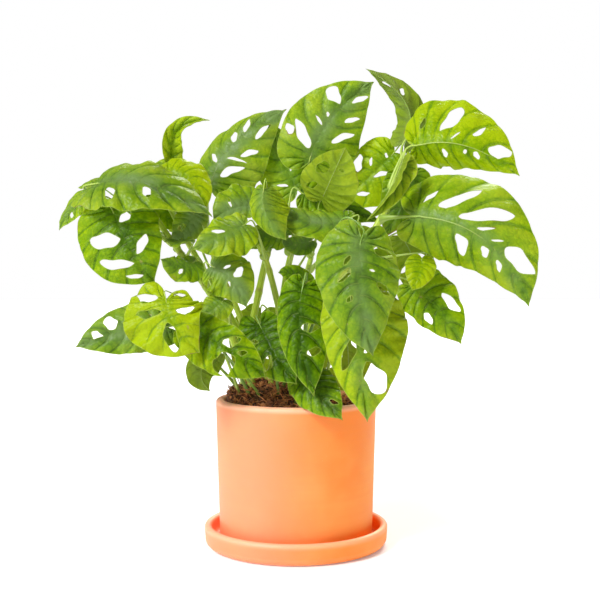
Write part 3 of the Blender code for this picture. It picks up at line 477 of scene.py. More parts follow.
green, green_shader, add = new_material("green stem")
fibre = add("Group", {"node_tree": streaks}, Closeness=(9.0, 0.035, 1.0), Dull=(0.35, 0.51, 0.02, 1),
            Bright=(0.57, 0.70, 0.08, 1), Relief=0.0004).outputs
patch = noise(add, add("TexCoord").outputs["Object"], 45, 2, 0.5)
skin = mixed(add, ramp(add, patch, 0.35, 0.7, 0, 0.5), fibre["Skin"], (0.36, 0.46, 0.06, 1))
skin = mixed(add, stored(add, "node"), skin, (0.29, 0.29, 0.05, 1))
feed(green_shader, Base_Color=skin, Roughness=fibre["Roughness"], Normal=fibre["Normal"],
     Subsurface_Weight=0.2, Subsurface_Radius=(0.6, 1, 0.2), Subsurface_Scale=0.003)

stem_routes = {}
for name, (route, thick, thin) in STEMS.items():
    x, y, _ = route[0]
    way = rooted(x, y) + route[1:]
    path = sampled(way)
    stem_routes[name] = (path, np.linspace(thick, thin, len(path)))
    fine_path = curve(way, np.linspace(0, 1, STEM_RINGS))
    run = way_along(fine_path)
    nodes = np.arange(34 + rng.uniform(0, 14), run[-1] - 8, rng.uniform(27, 36))
    off = run[:, None] - nodes
    # Each node swells the stem in a bell, and a narrow groove lies just past it. The cut end is slimmer.
    swell = np.exp(-(off / 2.6) ** 2).sum(axis=1)
    groove = np.exp(-((off - 1.6) / 0.6) ** 2).sum(axis=1)
    radii = np.linspace(thick, thin, STEM_RINGS) * (1 + 0.16 * swell - 0.06 * groove)
    radii *= np.where(run > run[-1] - 3, 0.8, 1)
    points, faces, uv = tube(fine_path, radii, STEM_SIDES)
    vine = piece(f"vine_{name}", points, faces, green)
    give_uv(vine.data, uv[[number for face in faces for number in face]])
    mark = np.clip(groove * 0.75 + 0.1 * swell, 0, 1)
    give(vine.data, "node", np.append(np.repeat(mark, STEM_SIDES), [0, 0.3]))
    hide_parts(f"stem_{name}")


def on_stem(name, at):
    """The centre, direction and radius of a stem, at a share of its route."""
    path, radii = stem_routes[name]
    where = at * (len(path) - 1)
    span = min(int(where), len(path) - 2)
    run = path[span + 1] - path[span]
    return path[span] + run * (where - span), unit(run), float(np.interp(where, range(len(path)), radii))


# Leaves: thin waxy blades, each grown in one piece with its stalk. Side veins leave the pale midrib nearly
# square and bend forward, the blade puffs up between them, and its natural holes lie there too.

# In the table, base, middle and tip are points on the midrib, and the upper side looks to faces. The left
# half comes before the right, seen from above with the tip ahead: widths are the halves' own, a fold lifts
# a half at the midrib and a curl bends it down towards its edge, both in degrees, and lobes is how far back
# each lobe is drawn. wave is the height and the number of the edge's waves. A hole is its start and its
# end, each in shares of the length and of the half's width, below 0 on the left, its width in shares of the
# length, and sometimes where it is widest. stalk is the stem and the share of its route, or the place in
# the mix, that it grows from, and any points that it passes. tone is how young and yellow the leaf is,
# the sheen number how much grey-green sheen, a painted reflection, is painted on it, and pale how pale
# its stalk is.
PLAIN_LEAF = dict(folds=(0, 0), curls=(15, 15), wave=(1, 3), bloom=0.2, lobes=(1, 1), pale=1, holes=())
LEAVES = dict(
    right_large=dict(
        base=(93, -12, 266), middle=(146, -38, 247), tip=(183, -30, 194), faces=(-.1, -.9, .35),
        widths=(53, 36), folds=(-8, -42), curls=(20, 25), wave=(1.5, 3), tone=.56, bloom=.45, pale=.55,
        stalk=("right", .8),
        holes=(((.03, -.22), (.09, -.52), .024), ((.14, -.2), (.31, -.74), .08, .42),
               ((.28, -.12), (.55, -.65), .095, .5), ((.42, -.08), (.51, -.25), .024),
               ((.54, -.06), (.6, -.18), .014), ((.64, -.12), (.86, -.29), .125, .42),
               ((.31, .2), (.44, .58), .095, .5), ((.52, .13), (.6, .27), .048, .5),
               ((.66, .12), (.74, .24), .036))),
    right_upper=dict(
        base=(96, 0, 323), middle=(135, -15, 322), tip=(179, -12, 298), faces=(0, -.9, .4),
        widths=(46, 27), folds=(-5, -66), curls=(10, 15), wave=(1.5, 3), tone=.74, bloom=0,
        stalk=("right", .93),
        holes=(((.06, -.32), (.09, -.56), .034), ((.24, -.23), (.38, -.78), .13, .62),
               ((.35, -.08), (.42, -.24), .02), ((.54, -.23), (.61, -.53), .05, .35),
               ((.7, -.06), (.87, -.3), .13, .42), ((.28, .2), (.31, .54), .06, .55),
               ((.5, .13), (.52, .26), .035, .5), ((.59, .1), (.66, .26), .05))),
    top=dict(
        base=(91, 18, 331), middle=(91, 24, 362), tip=(58, 28, 391), faces=(.2, .9, .3),
        widths=(23, 23), folds=(58, 42), curls=(-10, -10), tone=.4, bloom=1, stalk=("right", 1),
        holes=(((.74, .08), (.84, .24), .05), ((.6, -.12), (.66, -.42), .06))),
    back_right=dict(
        base=(83, 36, 322), middle=(63, 42, 303), tip=(33, 45, 276), faces=(-.1, -.95, .3),
        widths=(34, 24), folds=(-5, 5), tone=.72, bloom=.05, stalk=("right", .95),
        holes=(((.16, .06), (.11, .2), .045), ((.41, .24), (.32, .46), .04),
               ((.58, .4), (.41, .86), .11, .5), ((.75, -.12), (.64, -.32), .05),
               ((.29, -.26), (.48, -.08), .06))),
    top_centre=dict(
        base=(11, 28, 313), middle=(29, 32, 350), tip=(66, 38, 382), faces=(-.05, -1, .1),
        widths=(33, 36), folds=(0, -10), curls=(10, 15), wave=(1.5, 3), tone=.48, bloom=.6,
        stalk=("centre", .97),
        holes=(((.21, -.64), (.27, -.9), .07), ((.14, -.1), (.33, -.74), .1, .42),
               ((.4, -.08), (.44, -.34), .026), ((.5, -.08), (.53, -.17), .028, .5),
               ((.66, -.08), (.68, -.6), .11, .6), ((.74, .1), (.89, .22), .05, .5),
               ((.56, .3), (.7, .5), .045), ((.29, .34), (.54, .66), .066))),
    behind_centre=dict(
        base=(1, 48, 291), middle=(-12, 52, 318), tip=(-23, 55, 350), faces=(-.1, -.95, .2),
        widths=(25, 25), folds=(5, -5), tone=.6, bloom=.4, stalk=("centre", .9),
        holes=(((.3, .1), (.54, .5), .05), ((.12, -.2), (.2, -.55), .04))),
    left_top=dict(
        base=(-73, 38, 293), middle=(-52, 46, 332), tip=(-8, 58, 362), faces=(-.1, -.95, .2),
        widths=(25, 38), folds=(-30, 0), curls=(10, 15), wave=(1.5, 3), tone=.55, bloom=.9,
        stalk=("arch", .96),
        holes=(((.25, -.12), (.31, -.5), .044), ((.49, -.06), (.58, -.38), .055),
               ((.62, -.05), (.73, -.4), .045), ((.65, .27), (.83, .18), .05),
               ((.42, .32), (.59, .54), .05), ((.33, .1), (.4, .54), .032, .4),
               ((.13, .16), (.34, .56), .08, .4))),
    curled_left=dict(
        base=(-102, 21, 307), middle=(-98, 12, 336), tip=(-70, 5, 345), faces=(.3, -.8, .4),
        widths=(10, 11), folds=(26, 34), curls=(-10, -10), tone=.9, stalk=("left_inner", .97),
        holes=(((.66, .1), (.76, .3), .06),)),
    small_back_left=dict(
        base=(-94, 58, 300), middle=(-106, 60, 312), tip=(-124, 62, 315), faces=(0, -.9, .4),
        widths=(11, 11), curls=(20, 20), wave=(1, 2), tone=.8, stalk=("left_inner", 1),
        holes=(((.35, .2), (.45, .6), .08),)),
    left_long=dict(
        base=(-163, -8, 291), middle=(-118, -28, 292), tip=(-65, -30, 265), faces=(0, -.55, .83),
        widths=(34, 32), lobes=(2.2, 1.6), folds=(5, -10), curls=(20, 20), wave=(1.5, 3), tone=.5,
        bloom=.65, stalk=("left", .97),
        holes=(((.22, .38), (.32, .8), .08), ((.52, .2), (.6, .5), .06))),
    far_left=dict(
        base=(-167, 18, 289), middle=(-184, 22, 277), tip=(-197, 20, 256), faces=(-.3, -.8, .5),
        widths=(15, 15), folds=(0, -15), wave=(1, 2), tone=.6, bloom=.5, stalk=("left", .93),
        holes=(((.64, -.2), (.72, -.45), .08),)),
    left_hanging=dict(
        base=(-146, -20, 273), middle=(-130, -31, 240), tip=(-110, -32, 213), faces=(-.1, -1, .1),
        widths=(31, 38), folds=(-10, 0), curls=(10, 20), wave=(1.5, 3), tone=.3, bloom=.05,
        stalk=("left", .9),
        holes=(((.36, .08), (.21, .7), .16, .5), ((.67, .08), (.45, .7), .105, .55),
               ((.84, .08), (.73, .38), .045), ((.18, -.06), (.12, -.42), .09, .5),
               ((.6, -.09), (.44, -.54), .1, .5))),
    arch_left=dict(
        base=(-105, -3, 302), middle=(-83, -10, 295), tip=(-72, -13, 270), faces=(.3, -.7, .65),
        widths=(18, 18), folds=(10, -40), tone=.85, bloom=0, stalk=("left_inner", .92),
        holes=(((.68, .12), (.76, .36), .09),)),
    lime_front=dict(
        base=(-96, -72, 202), middle=(-90, -82, 184), tip=(-70, -80, 162), faces=(0, -1, .25),
        widths=(27, 35), lobes=(2, 3.6), folds=(-5, -5), wave=(3, 3.4), tone=.93, bloom=.03,
        stalk=((-46, -14), (-70, -24, 184)),
        holes=(((0, .18), (-.1, .68), .17, .55), ((.24, .13), (.15, .68), .125, .5),
               ((.45, .09), (.8, .34), .19, .52), ((.3, -.22), (.43, -.72), .16, .5),
               ((-.1, -.16), (-.14, -.5), .06))),
    low_left=dict(
        base=(-98, -45, 179), middle=(-134, -50, 175), tip=(-169, -50, 164), faces=(0, -.95, .3),
        widths=(18, 24), folds=(-5, -5), curls=(20, 20), wave=(1.5, 3), tone=.35, bloom=.75, pale=.5,
        stalk=((-48, -2), (-76, -28, 162)),
        holes=(((.55, .16), (.61, .66), .13, .5), ((.7, -.07), (.79, .28), .09))),
    mid_left=dict(
        base=(-80, -16, 230), middle=(-92, -26, 227), tip=(-106, -30, 232), faces=(0, -.7, .7),
        widths=(16, 12), folds=(-20, 0), curls=(10, 10), tone=.5, bloom=.5, stalk=("left", .6),
        holes=(((.44, -.22), (.52, -.5), .09),)),
    mid_centre=dict(
        base=(-66, -31, 226), middle=(-50, -39, 216), tip=(-38, -42, 194), faces=(.1, -.9, .4),
        widths=(24, 20), folds=(-5, -15), curls=(25, 10), wave=(2, 2.6), tone=.6, bloom=.7,
        stalk=("left", .5),
        holes=(((.24, -.1), (.28, -.36), .07), ((.5, -.13), (.42, -.6), .13), ((.17, .38), (.1, .84), .15),
               ((.5, .12), (.6, .3), .06))),
    low_centre=dict(
        base=(-80, -62, 180), middle=(-47, -75, 163), tip=(-22, -72, 143), faces=(0, -.95, .3),
        widths=(17, 23), folds=(0, -5), curls=(5, 15), wave=(1.5, 3), tone=.42, bloom=0, pale=.35,
        stalk=((-38, -22), (-62, -34, 166)),
        holes=(((.37, -.05), (.5, -.66), .1, .45), ((.56, -.04), (.64, -.32), .055, .4),
               ((.56, .12), (.44, .8), .24, .55))),
    low_under=dict(
        base=(-62, -48, 159), middle=(-72, -55, 145), tip=(-65, -58, 131), faces=(0, .9, -.3),
        widths=(14, 13), folds=(10, 10), curls=(-15, -15), wave=(1, 2), tone=.5, bloom=.7, pale=.4,
        stalk=((-30, -28),)),
    dark_centre=dict(
        base=(-28, -40, 181), middle=(-16, -56, 160), tip=(1, -66, 137), faces=(0, -.95, .3),
        widths=(20, 23), lobes=(1.5, 2.2), folds=(10, -5), curls=(10, 15), wave=(1.5, 3), tone=.13,
        bloom=0, pale=.3, stalk=((-14, -22), (-20, -28, 160)),
        holes=(((.5, .17), (.64, .6), .11, .5), ((.25, .3), (.16, .52), .05))),
    centre_lower=dict(
        base=(6, -55, 212), middle=(3, -68, 175), tip=(14, -77, 129), faces=(0, -1, .1),
        widths=(27, 18), folds=(-10, -15), wave=(1.5, 4), tone=.2, bloom=0, pale=.3,
        stalk=((8, -18), (7, -34, 175)),
        holes=(((.44, -.06), (.43, -.58), .085, .45), ((.67, -.12), (.65, -.53), .065, .5))),
    low_right=dict(
        base=(6, -46, 144), middle=(17, -65, 131), tip=(35, -78, 112), faces=(0, -.9, .45),
        widths=(20, 18), folds=(-5, -10), curls=(20, 20), tone=.2, bloom=.1, pale=.3, stalk=((0, -32),),
        holes=(((.7, -.14), (.81, -.3), .06),)),
    small_centre=dict(
        base=(10, -20, 213), middle=(-3, -22, 220), tip=(-14, -24, 221), faces=(0, -.9, .4),
        widths=(9, 10), folds=(0, -10), wave=(.5, 2), tone=.35, bloom=.1, pale=.4, stalk=("right", .3),
        holes=(((.2, -.1), (.3, -.4), .06),)),
    centre_large=dict(
        base=(48, -88, 247), middle=(46, -104, 208), tip=(56, -100, 161), faces=(0, -1, .15),
        widths=(32, 32), lobes=(1.6, 1.6), folds=(-10, -5), curls=(20, 25), wave=(1.5, 4), tone=.36,
        bloom=.55, pale=.25,
        stalk=((-10, -12), (10, -30, 172), (25, -52, 216), (30, -64, 250), (37, -76, 262)),
        holes=(((.3, .2), (.41, .46), .066), ((.53, .18), (.57, .3), .036), ((.19, .2), (.27, .33), .034),
               ((.07, -.3), (.12, -.82), .08, .42), ((.31, -.24), (.32, -.36), .024, .5),
               ((.42, -.44), (.56, -.68), .074))),
    front_right=dict(
        base=(41, -66, 205), middle=(46, -84, 164), tip=(53, -82, 111), faces=(0, -1, .1),
        widths=(40, 26), folds=(-5, -10), curls=(15, 20), wave=(2, 4), tone=.7, bloom=.3,
        stalk=((20, -20), (30, -36, 165)),
        holes=(((.59, -.12), (.82, -.38), .16, .58), ((.37, .06), (.63, .5), .085, .5),
               ((.52, -.1), (.47, -.24), .034))),
    small_right=dict(
        base=(103, 6, 233), middle=(100, 1, 220), tip=(94, -2, 206), faces=(0, -1, .2),
        widths=(13, 13), curls=(20, 20), wave=(1, 2), tone=.85, bloom=0, stalk=("right", .62)),
    mid_right=dict(
        base=(95, 14, 211), middle=(117, 9, 189), tip=(136, 7, 162), faces=(0, -.95, .3),
        widths=(26, 20), folds=(0, -5), wave=(1.5, 3), tone=.48, bloom=.1, stalk=("right", .58),
        holes=(((.36, -.48), (.67, -.57), .125, .5), ((.4, .48), (.58, .54), .085))),
    centre_front=dict(
        base=(21, 3, 280), middle=(30, -8, 300), tip=(40, -5, 322), faces=(0, .95, -.3),
        widths=(24, 24), folds=(-5, -15), curls=(-15, -30), wave=(1, 2), tone=.62, bloom=0,
        stalk=((-8, 18), (8, 4, 207), (14, 3, 235), (17, 4, 252)),
        holes=(((.62, .24), (.42, .58), .2), ((.24, .36), (.08, .68), .12), ((.62, -.1), (.6, -.3), .06))),
    arch_centre=dict(
        base=(-32, -5, 275), middle=(-51, -12, 272), tip=(-66, -15, 263), faces=(0, -.5, .85),
        widths=(13, 20), folds=(-10, 42), curls=(10, 15), tone=.5, bloom=.7, stalk=("centre_left", .82),
        holes=(((.5, .08), (.48, .5), .05),)),
    left_centre=dict(
        base=(-39, -28, 259), middle=(-58, -40, 250), tip=(-80, -44, 239), faces=(0, -.9, .45),
        widths=(21, 17), folds=(-5, -5), wave=(2.2, 2.3), tone=.6, bloom=.35, stalk=("centre_low", .95),
        holes=(((.4, .1), (.6, .42), .07),)),
    olive_centre=dict(
        base=(-8, 0, 251), middle=(-28, -2, 252), tip=(-50, -8, 243), faces=(0, -.8, -.6),
        widths=(18, 11), tone=.45, bloom=.3, stalk=("centre", .72)),
    folded_centre=dict(
        base=(-25, -26, 287), middle=(-23, -34, 267), tip=(-7, -38, 246), faces=(.2, -.9, .3),
        widths=(26, 14), folds=(-20, -50), curls=(10, 10), tone=.6, bloom=.35, stalk=("centre_left", .92)),
    glossy_centre=dict(
        base=(42, -10, 263), middle=(9, -14, 262), tip=(-18, -6, 276), faces=(0, -.6, .8),
        widths=(18, 21), folds=(-10, 0), curls=(20, 15), tone=.45, bloom=.7, stalk=("right", .5)),
    shaded_centre=dict(
        base=(5, 14, 286), middle=(29, 14, 278), tip=(72, 13, 262), faces=(0, -.9, .4),
        widths=(14, 18), wave=(1, 2), tone=.35, bloom=.1, stalk=("centre", .86)),
    folded_right=dict(
        base=(86, -8, 311), middle=(75, -14, 287), tip=(56, -16, 262), faces=(.7, -.6, .2),
        widths=(14, 14), folds=(60, 60), curls=(-5, -5), wave=(1, 2), tone=.75, bloom=.3,
        stalk=("right", .88)),
    shaded_right=dict(
        base=(97, 23, 305), middle=(90, 22, 282), tip=(72, 20, 248), faces=(0, -.95, .2),
        widths=(17, 22), wave=(1, 2), tone=.35, stalk=("right", .84)),
    behind_stems=dict(
        base=(-124, 16, 278), middle=(-110, 17, 268), tip=(-96, 16, 255), faces=(0, -.9, .4),
        widths=(12, 12), wave=(1, 2), tone=.8, bloom=.1, stalk=("left", .86)),
    grey_left=dict(
        base=(-82, -2, 270), middle=(-89, -4, 257), tip=(-101, -5, 243), faces=(0, -.9, -.4),
        widths=(14, 13), curls=(10, 10), wave=(1, 2), tone=.55, bloom=1, stalk=("arch", .9),
        holes=(((.45, .06), (.64, .36), .18),)),
    edge_left=dict(
        base=(-84, -18, 247), middle=(-96, -18, 246), tip=(-101, -11, 248), faces=(0, -.2, 1),
        widths=(11, 13), wave=(1.5, 2), tone=.4, bloom=.3, stalk=("left", .78)),
    pale_left=dict(
        base=(-56, -36, 200), middle=(-65, -39, 192), tip=(-78, -40, 185), faces=(0, -.9, .4),
        widths=(12, 12), wave=(1, 2), tone=.75, bloom=.7, stalk=("left", .42)),
    under_centre=dict(
        base=(13, 0, 247), middle=(0, -4, 244), tip=(-12, -6, 248), faces=(0, -.9, -.4),
        widths=(10, 9), curls=(-15, -15), wave=(.5, 2), tone=.2, stalk=("centre", .66)),
    rear_right=dict(
        base=(45, 52, 252), middle=(57, 74, 215), tip=(64, 78, 165), faces=(.1, .95, .3),
        widths=(30, 30), folds=(-5, -5), curls=(20, 20), wave=(1.5, 3), tone=.4, stalk=("back", .95),
        holes=(((.12, .2), (.2, .7), .07), ((.34, .15), (.48, .72), .08), ((.58, .15), (.74, .48), .07),
               ((.18, -.2), (.28, -.72), .08), ((.42, -.15), (.58, -.64), .08))),
    rear_low=dict(
        base=(36, 58, 192), middle=(46, 80, 152), tip=(44, 84, 106), faces=(.1, .95, .3),
        widths=(37, 27), folds=(-5, -5), curls=(20, 20), wave=(1.5, 3), tone=.4, stalk=("back", .5),
        holes=(((.16, .2), (.26, .7), .07), ((.4, .15), (.55, .66), .08), ((.28, -.2), (.4, -.7), .08),
               ((.54, -.15), (.7, -.54), .07))),
    rear_left_low=dict(
        base=(-30, 48, 186), middle=(-38, 66, 152), tip=(-38, 70, 118), faces=(-.1, .95, .3),
        widths=(23, 23), folds=(-5, -5), curls=(20, 20), wave=(1.5, 3), tone=.5, stalk=("back", .55),
        holes=(((.2, .2), (.3, .7), .08), ((.45, .15), (.6, .62), .08), ((.34, -.2), (.48, -.68), .08))),
    rear_top=dict(
        base=(20, 58, 282), middle=(24, 72, 304), tip=(22, 82, 328), faces=(0, .8, .5),
        widths=(22, 22), folds=(-5, -5), tone=.65, stalk=("back", 1),
        holes=(((.2, .2), (.3, .7), .08), ((.46, .15), (.6, .6), .07), ((.42, -.2), (.58, -.62), .08))),
    rear_left=dict(
        base=(-90, 34, 262), middle=(-110, 56, 274), tip=(-133, 68, 268), faces=(0, .9, .3),
        widths=(18, 18), folds=(-5, -5), tone=.55, stalk=("left_inner", .6),
        holes=(((.3, .2), (.42, .7), .08), ((.42, -.2), (.56, -.66), .08))),
    rear_far_right=dict(
        base=(90, 36, 250), middle=(102, 54, 226), tip=(100, 60, 196), faces=(.2, .9, .3),
        widths=(19, 19), folds=(-5, -5), tone=.45, stalk=("right", .64),
        holes=(((.3, .2), (.42, .7), .08), ((.44, -.2), (.6, -.62), .08))),
)

# The blade's edge from its base, round a lobe, to its tip: shares of the length and of the half's width.
EDGE = (
    (0.00, 0.00), (-0.07, 0.14), (-0.11, 0.38), (-0.06, 0.67), (0.09, 0.92), (0.27, 1.00),
    (0.46, 0.94), (0.64, 0.76), (0.80, 0.49), (0.91, 0.22), (1.00, 0.00),
)
BLADE_THICKNESS = 0.45
FINEST_GAP, COARSEST_GAP, GAPS_ALONG = 0.95, 1.75, 62
VEIN_STEP, VEIN_LEAN, VEIN_BEND, HALVINGS = 0.135, 1.7, 2.2, 26
FIRST_VEIN, LAST_VEIN, MOST_VEINS = -0.3, 0.93, 7
SWELL, QUILT, DIP = 0.034, 0.003, 0.007
# The sheet is so thin that its edge waves half as high again as the table says.
WAVES_RAISED = 1.5
STALK_SIDES, RIB_SHARE, THINNEST_RIB, THICKEST_RIB, RIB_TIP = 10, 0.0055, 0.28, 0.65, 0.22


def leaf_length(shape):
    """The straight distance from a leaf's base to its tip."""
    return float(np.linalg.norm(np.subtract(shape["tip"], shape["base"])))


def margin(along, half, shape):
    """The blade's edge, as a share of the length and in mm from the midrib: the edge curve, with its lobe
    drawn back as far as this leaf's lobe is and a ripple of crossed waves, a thirtieth of the width high. A
    bell narrows the tip by half, which draws it out."""
    edge = curve(EDGE, (1 + 3 * along) / 4)
    back = np.array(shape["lobes"])[half]
    start = 0.7 * shape["base"][0] + 2 * half
    ripple = 1 + 0.02 * np.sin(13 * along + start) + 0.014 * np.sin(31 * along + 2 * start)
    end = np.where(edge[:, 0] < 0, edge[:, 0] * back, edge[:, 0])
    ripple *= 1 - 0.5 * np.exp(-((1 - end) / 0.06) ** 2)
    return end, edge[:, 1] * ripple * np.array(shape["widths"])[half]


def on_vein(along, out, end):
    """How far along the leaf a side vein is: it starts on the midrib at along to the power 1.7, ends on the
    edge, and moves between them as out to the power 2.2, so that it leaves square and bends forward."""
    start = np.maximum(along, 0) ** VEIN_LEAN
    return start + (end - start) * out ** VEIN_BEND


def flat(along, out, shape):
    """Where a side vein is on the flat blade, as a share of the length and in mm from the midrib. out is
    the share of the way from the midrib to the edge, and below 0 on the left half."""
    end, across = margin(along, (out >= 0).astype(int), shape)
    return on_vein(along, np.abs(out), end), across * out


def vein_place(u, v, shape):
    """The reverse of flat: the vein through each place, found by halving the range of veins."""
    half = (v >= 0).astype(int)
    low, high = np.full(len(u), -1 / 3), np.ones(len(u))
    for _ in range(HALVINGS):
        along = (low + high) / 2
        end, across = margin(along, half, shape)
        out = np.abs(v) / np.maximum(across, 1e-6)
        short = np.where(out > 1, along < 1 / 3, on_vein(along, np.minimum(out, 1), end) < u)
        low, high = np.where(short, along, low), np.where(short, high, along)
    return along, np.clip(out, 0, 1) * (2 * half - 1)


def midrib(shape):
    """The three control points of the midrib's parabola, and the direction that the upper side looks to."""
    base, middle, tip = (np.array(shape[key], float) for key in ("base", "middle", "tip"))
    return base, 2 * middle - (base + tip) / 2, tip, np.array(shape["faces"], float)


def bent(u, v, rise, shape):
    """The flat blade's points in space: a place on the midrib's curve (a parabola through its three
    points), plus the half's own arc, which starts at its fold and turns by its curl, plus the waves of its
    edge and the given rise."""
    base, pull, tip, faces = midrib(shape)
    w = np.maximum(u, 0)[:, None]
    centre = (1 - w) ** 2 * base + 2 * w * (1 - w) * pull + w ** 2 * tip
    centre += 2 * np.minimum(u, 0)[:, None] * (pull - base)
    ahead = unit((1 - w) * (pull - base) + w * (tip - pull))
    up = unit(faces - ahead * (ahead @ faces)[:, None])
    right = np.cross(ahead, up)
    half = (v >= 0).astype(int)
    fold = np.radians(np.array(shape["folds"]))[half]
    widths = np.array(shape["widths"])[half]
    bend = np.radians(np.array(shape["curls"]) + 0.01)[half] / widths
    reach = np.abs(v)
    across = (np.sin(fold) - np.sin(fold - bend * reach)) / bend
    lift = (np.cos(fold - bend * reach) - np.cos(fold)) / bend
    height, count = shape["wave"][0] * WAVES_RAISED, shape["wave"][1]
    lift += height * (reach / widths) ** 2 * np.sin(2 * math.pi * count * u + half * 2.1)
    lift += 0.35 * height * (reach / widths) ** 3 * np.sin(2 * math.pi * 2.7 * count * u + half * 1.3 + 1)
    tilt = fold - bend * reach
    across, lift = across - rise * np.sin(tilt), lift + rise * np.cos(tilt)
    return centre + right * (np.sign(v) * across)[:, None] + up * lift[:, None]


def puffed(step, out, v, length):
    """The blade's own relief: it swells between two veins as one less the 2.2th power of the way to the
    vein, which leaves a sharp crease there, dips in a bell over the midrib, and has a faint quilting of
    crossed waves."""
    off = np.abs(step - np.round(step))
    reach = np.abs(out)
    body = reach ** 0.6 * (1 - 0.7 * reach ** 3)
    swell = SWELL * (1 - (2 * off) ** 2.2) * body
    quilt = QUILT * np.sin(step * 13 + out * 5) * np.sin(out * 15 + step * 4) * body
    return length * (swell + quilt - DIP * np.exp(-(v / (0.035 * length)) ** 2))


def hole_outline(start, stop, width, shape, count, widest=0.45):
    """The edge of a hole from start to stop. Its half width, at a share of the way, is a power of the share
    times a power of the rest, with the exponents 1.3 times widest and 1.3 times the rest of it. That puts
    the widest place at widest and makes the nearer end the blunter one. Its middle line bows a little, and
    a sine makes each side uneven."""
    length = leaf_length(shape)
    half = int(start[1] + stop[1] > 0)
    way = 2 * half - 1
    scale = np.array([length, shape["widths"][half]])
    start, stop = np.array(start) * scale, np.array(stop) * scale
    run = stop - start
    side = unit(np.array([-run[1], run[0]]))
    s = (1 - np.cos(np.linspace(0, math.pi, count // 2 + 1))) / 2
    blunt = 1.3 * widest, 1.3 * (1 - widest)
    thick = (s / widest) ** blunt[0] * ((1 - s) / (1 - widest)) ** blunt[1] * width * length / 2
    bow = np.sin(math.pi * s) * -way * 0.04 * np.linalg.norm(run)
    line = start + run * s[:, None] + side * bow[:, None]
    above, below = (thick * (1 + 0.16 * np.sin(9 * s + turn + 40 * start[0])) for turn in (0, 2.5))
    points = np.vstack([line + side * above[:, None], (line - side * below[:, None])[-2:0:-1]])
    return points[:, 0] / length, np.maximum(points[:, 1] * way, 0.9) * way


def within(points, corners):
    """Which points lie inside a closed outline: their level ray crosses it an odd number of times."""
    inside = np.zeros(len(points), bool)
    for (ax, ay), (bx, by) in zip(corners, np.roll(corners, -1, axis=0)):
        level = ax + (points[:, 1] - ay) / (by - ay + (by == ay)) * (bx - ax)
        inside ^= ((ay > points[:, 1]) != (by > points[:, 1])) & (points[:, 0] < level)
    return inside


def on_blade(points, rims):
    """Which points lie inside the first outline, the blade's, and outside the others, its holes."""
    blade, *holes = (within(points, rim) for rim in rims)
    return blade & ~np.any(holes, axis=0) if holes else blade


def distances(points, others):
    """Each point's distance from the nearest of the others."""
    away = np.full(len(points), np.inf)
    for some in np.array_split(others, max(1, len(others) // 200)):
        away = np.minimum(away, ((points[:, None] - some) ** 2).sum(axis=-1).min(axis=1))
    return np.sqrt(away)


def outlines(shape, gap):
    """The flat blade's midrib, edge and holes as one list of places, which of them go round the edge and
    round each hole, and how many follow the midrib. Last is how far each half's veins are shifted, so that
    its holes lie midway between two veins: their mean place, taken as an angle round one vein's step."""
    length = leaf_length(shape)
    rows, steps = int(length / gap), int(length / gap * 1.25)
    edge = (4 * np.linspace(0, 1, steps + 2)[1:-1] - 1) / 3
    right, left = flat(edge, np.ones(steps), shape), flat(edge, -np.ones(steps), shape)
    u = [np.linspace(0, 1, rows + 1), right[0], left[0][::-1]]
    v = [np.zeros(rows + 1), right[1], left[1][::-1]]
    total = rows + 1 + 2 * steps
    rims = [[0, *range(rows + 1, rows + 1 + steps), rows, *range(rows + 1 + steps, total)]]
    middles = [[], []]
    for start, stop, width, *widest in shape["holes"]:
        run = np.linalg.norm(np.subtract(stop, start) * (length, max(shape["widths"])))
        count = 2 * int(np.clip(run / gap * 1.1, 10, 22))
        side = hole_outline(start, stop, width, shape, count, *widest)
        u.append(side[0])
        v.append(side[1])
        rims.append(list(range(total, total + count)))
        total += count
        middle = vein_place(np.array([side[0].mean()]), np.array([side[1].mean()]), shape)[0]
        middles[int(side[1].mean() > 0)].append(middle[0])
    turns = [np.angle(np.mean(np.exp(2j * math.pi * np.array(m) / VEIN_STEP))) if m else 1.0 for m in middles]
    places = np.column_stack([np.concatenate(u) * length, np.concatenate(v)])
    return places, rims, rows, np.array(turns) / (2 * math.pi) * VEIN_STEP


def vein_rows(shape, shift, gap):
    """Rows of places along the side veins of both halves of the flat blade."""
    veins = []
    for half, width in enumerate(shape["widths"]):
        first = np.ceil((FIRST_VEIN - shift[half]) / VEIN_STEP - 0.5)
        for along in shift[half] + (np.arange(first, MOST_VEINS) + 0.5) * VEIN_STEP:
            if FIRST_VEIN < along < LAST_VEIN:
                out = np.linspace(0, 1, int(width / gap) + 3)[1:-1]
                veins.append(np.column_stack(flat(np.full(len(out), along), out * (2 * half - 1), shape)))
    return np.vstack(veins) * (leaf_length(shape), 1)


def even_net(low, high, gap):
    """An even net of places in a rectangle, whose every second row is moved by half a gap, so that the
    places next to one are all a gap from it."""
    columns, rows = np.arange(low[0], high[0], gap), np.arange(low[1], high[1], gap * 0.866)
    net = np.stack(np.meshgrid(columns, rows), axis=-1)
    net[1::2, :, 0] += gap / 2
    return net.reshape(-1, 2)


def doubled(middle, triangles):
    """A sheet with a thickness: its middle's points moved by half of it along their normals, up and then
    down, and the triangles of both sides, with quads that join them wherever an edge has a triangle on one
    side only."""
    corners = middle[triangles]
    facing = np.cross(corners[:, 1] - corners[:, 0], corners[:, 2] - corners[:, 0])
    normals = np.zeros_like(middle)
    for k in range(3):
        np.add.at(normals, triangles[:, k], facing)
    normals = unit(normals) * BLADE_THICKNESS / 2
    under = len(middle)
    ways = np.vstack([triangles[:, [0, 1]], triangles[:, [1, 2]], triangles[:, [2, 0]]])
    single = ways[~np.isin(ways[:, 0] * under + ways[:, 1], ways[:, 1] * under + ways[:, 0])]
    walls = np.column_stack([single[:, 1], single[:, 0], single[:, 0] + under, single[:, 1] + under])
    return np.vstack([middle + normals, middle - normals]), (triangles, triangles[:, ::-1] + under, walls)


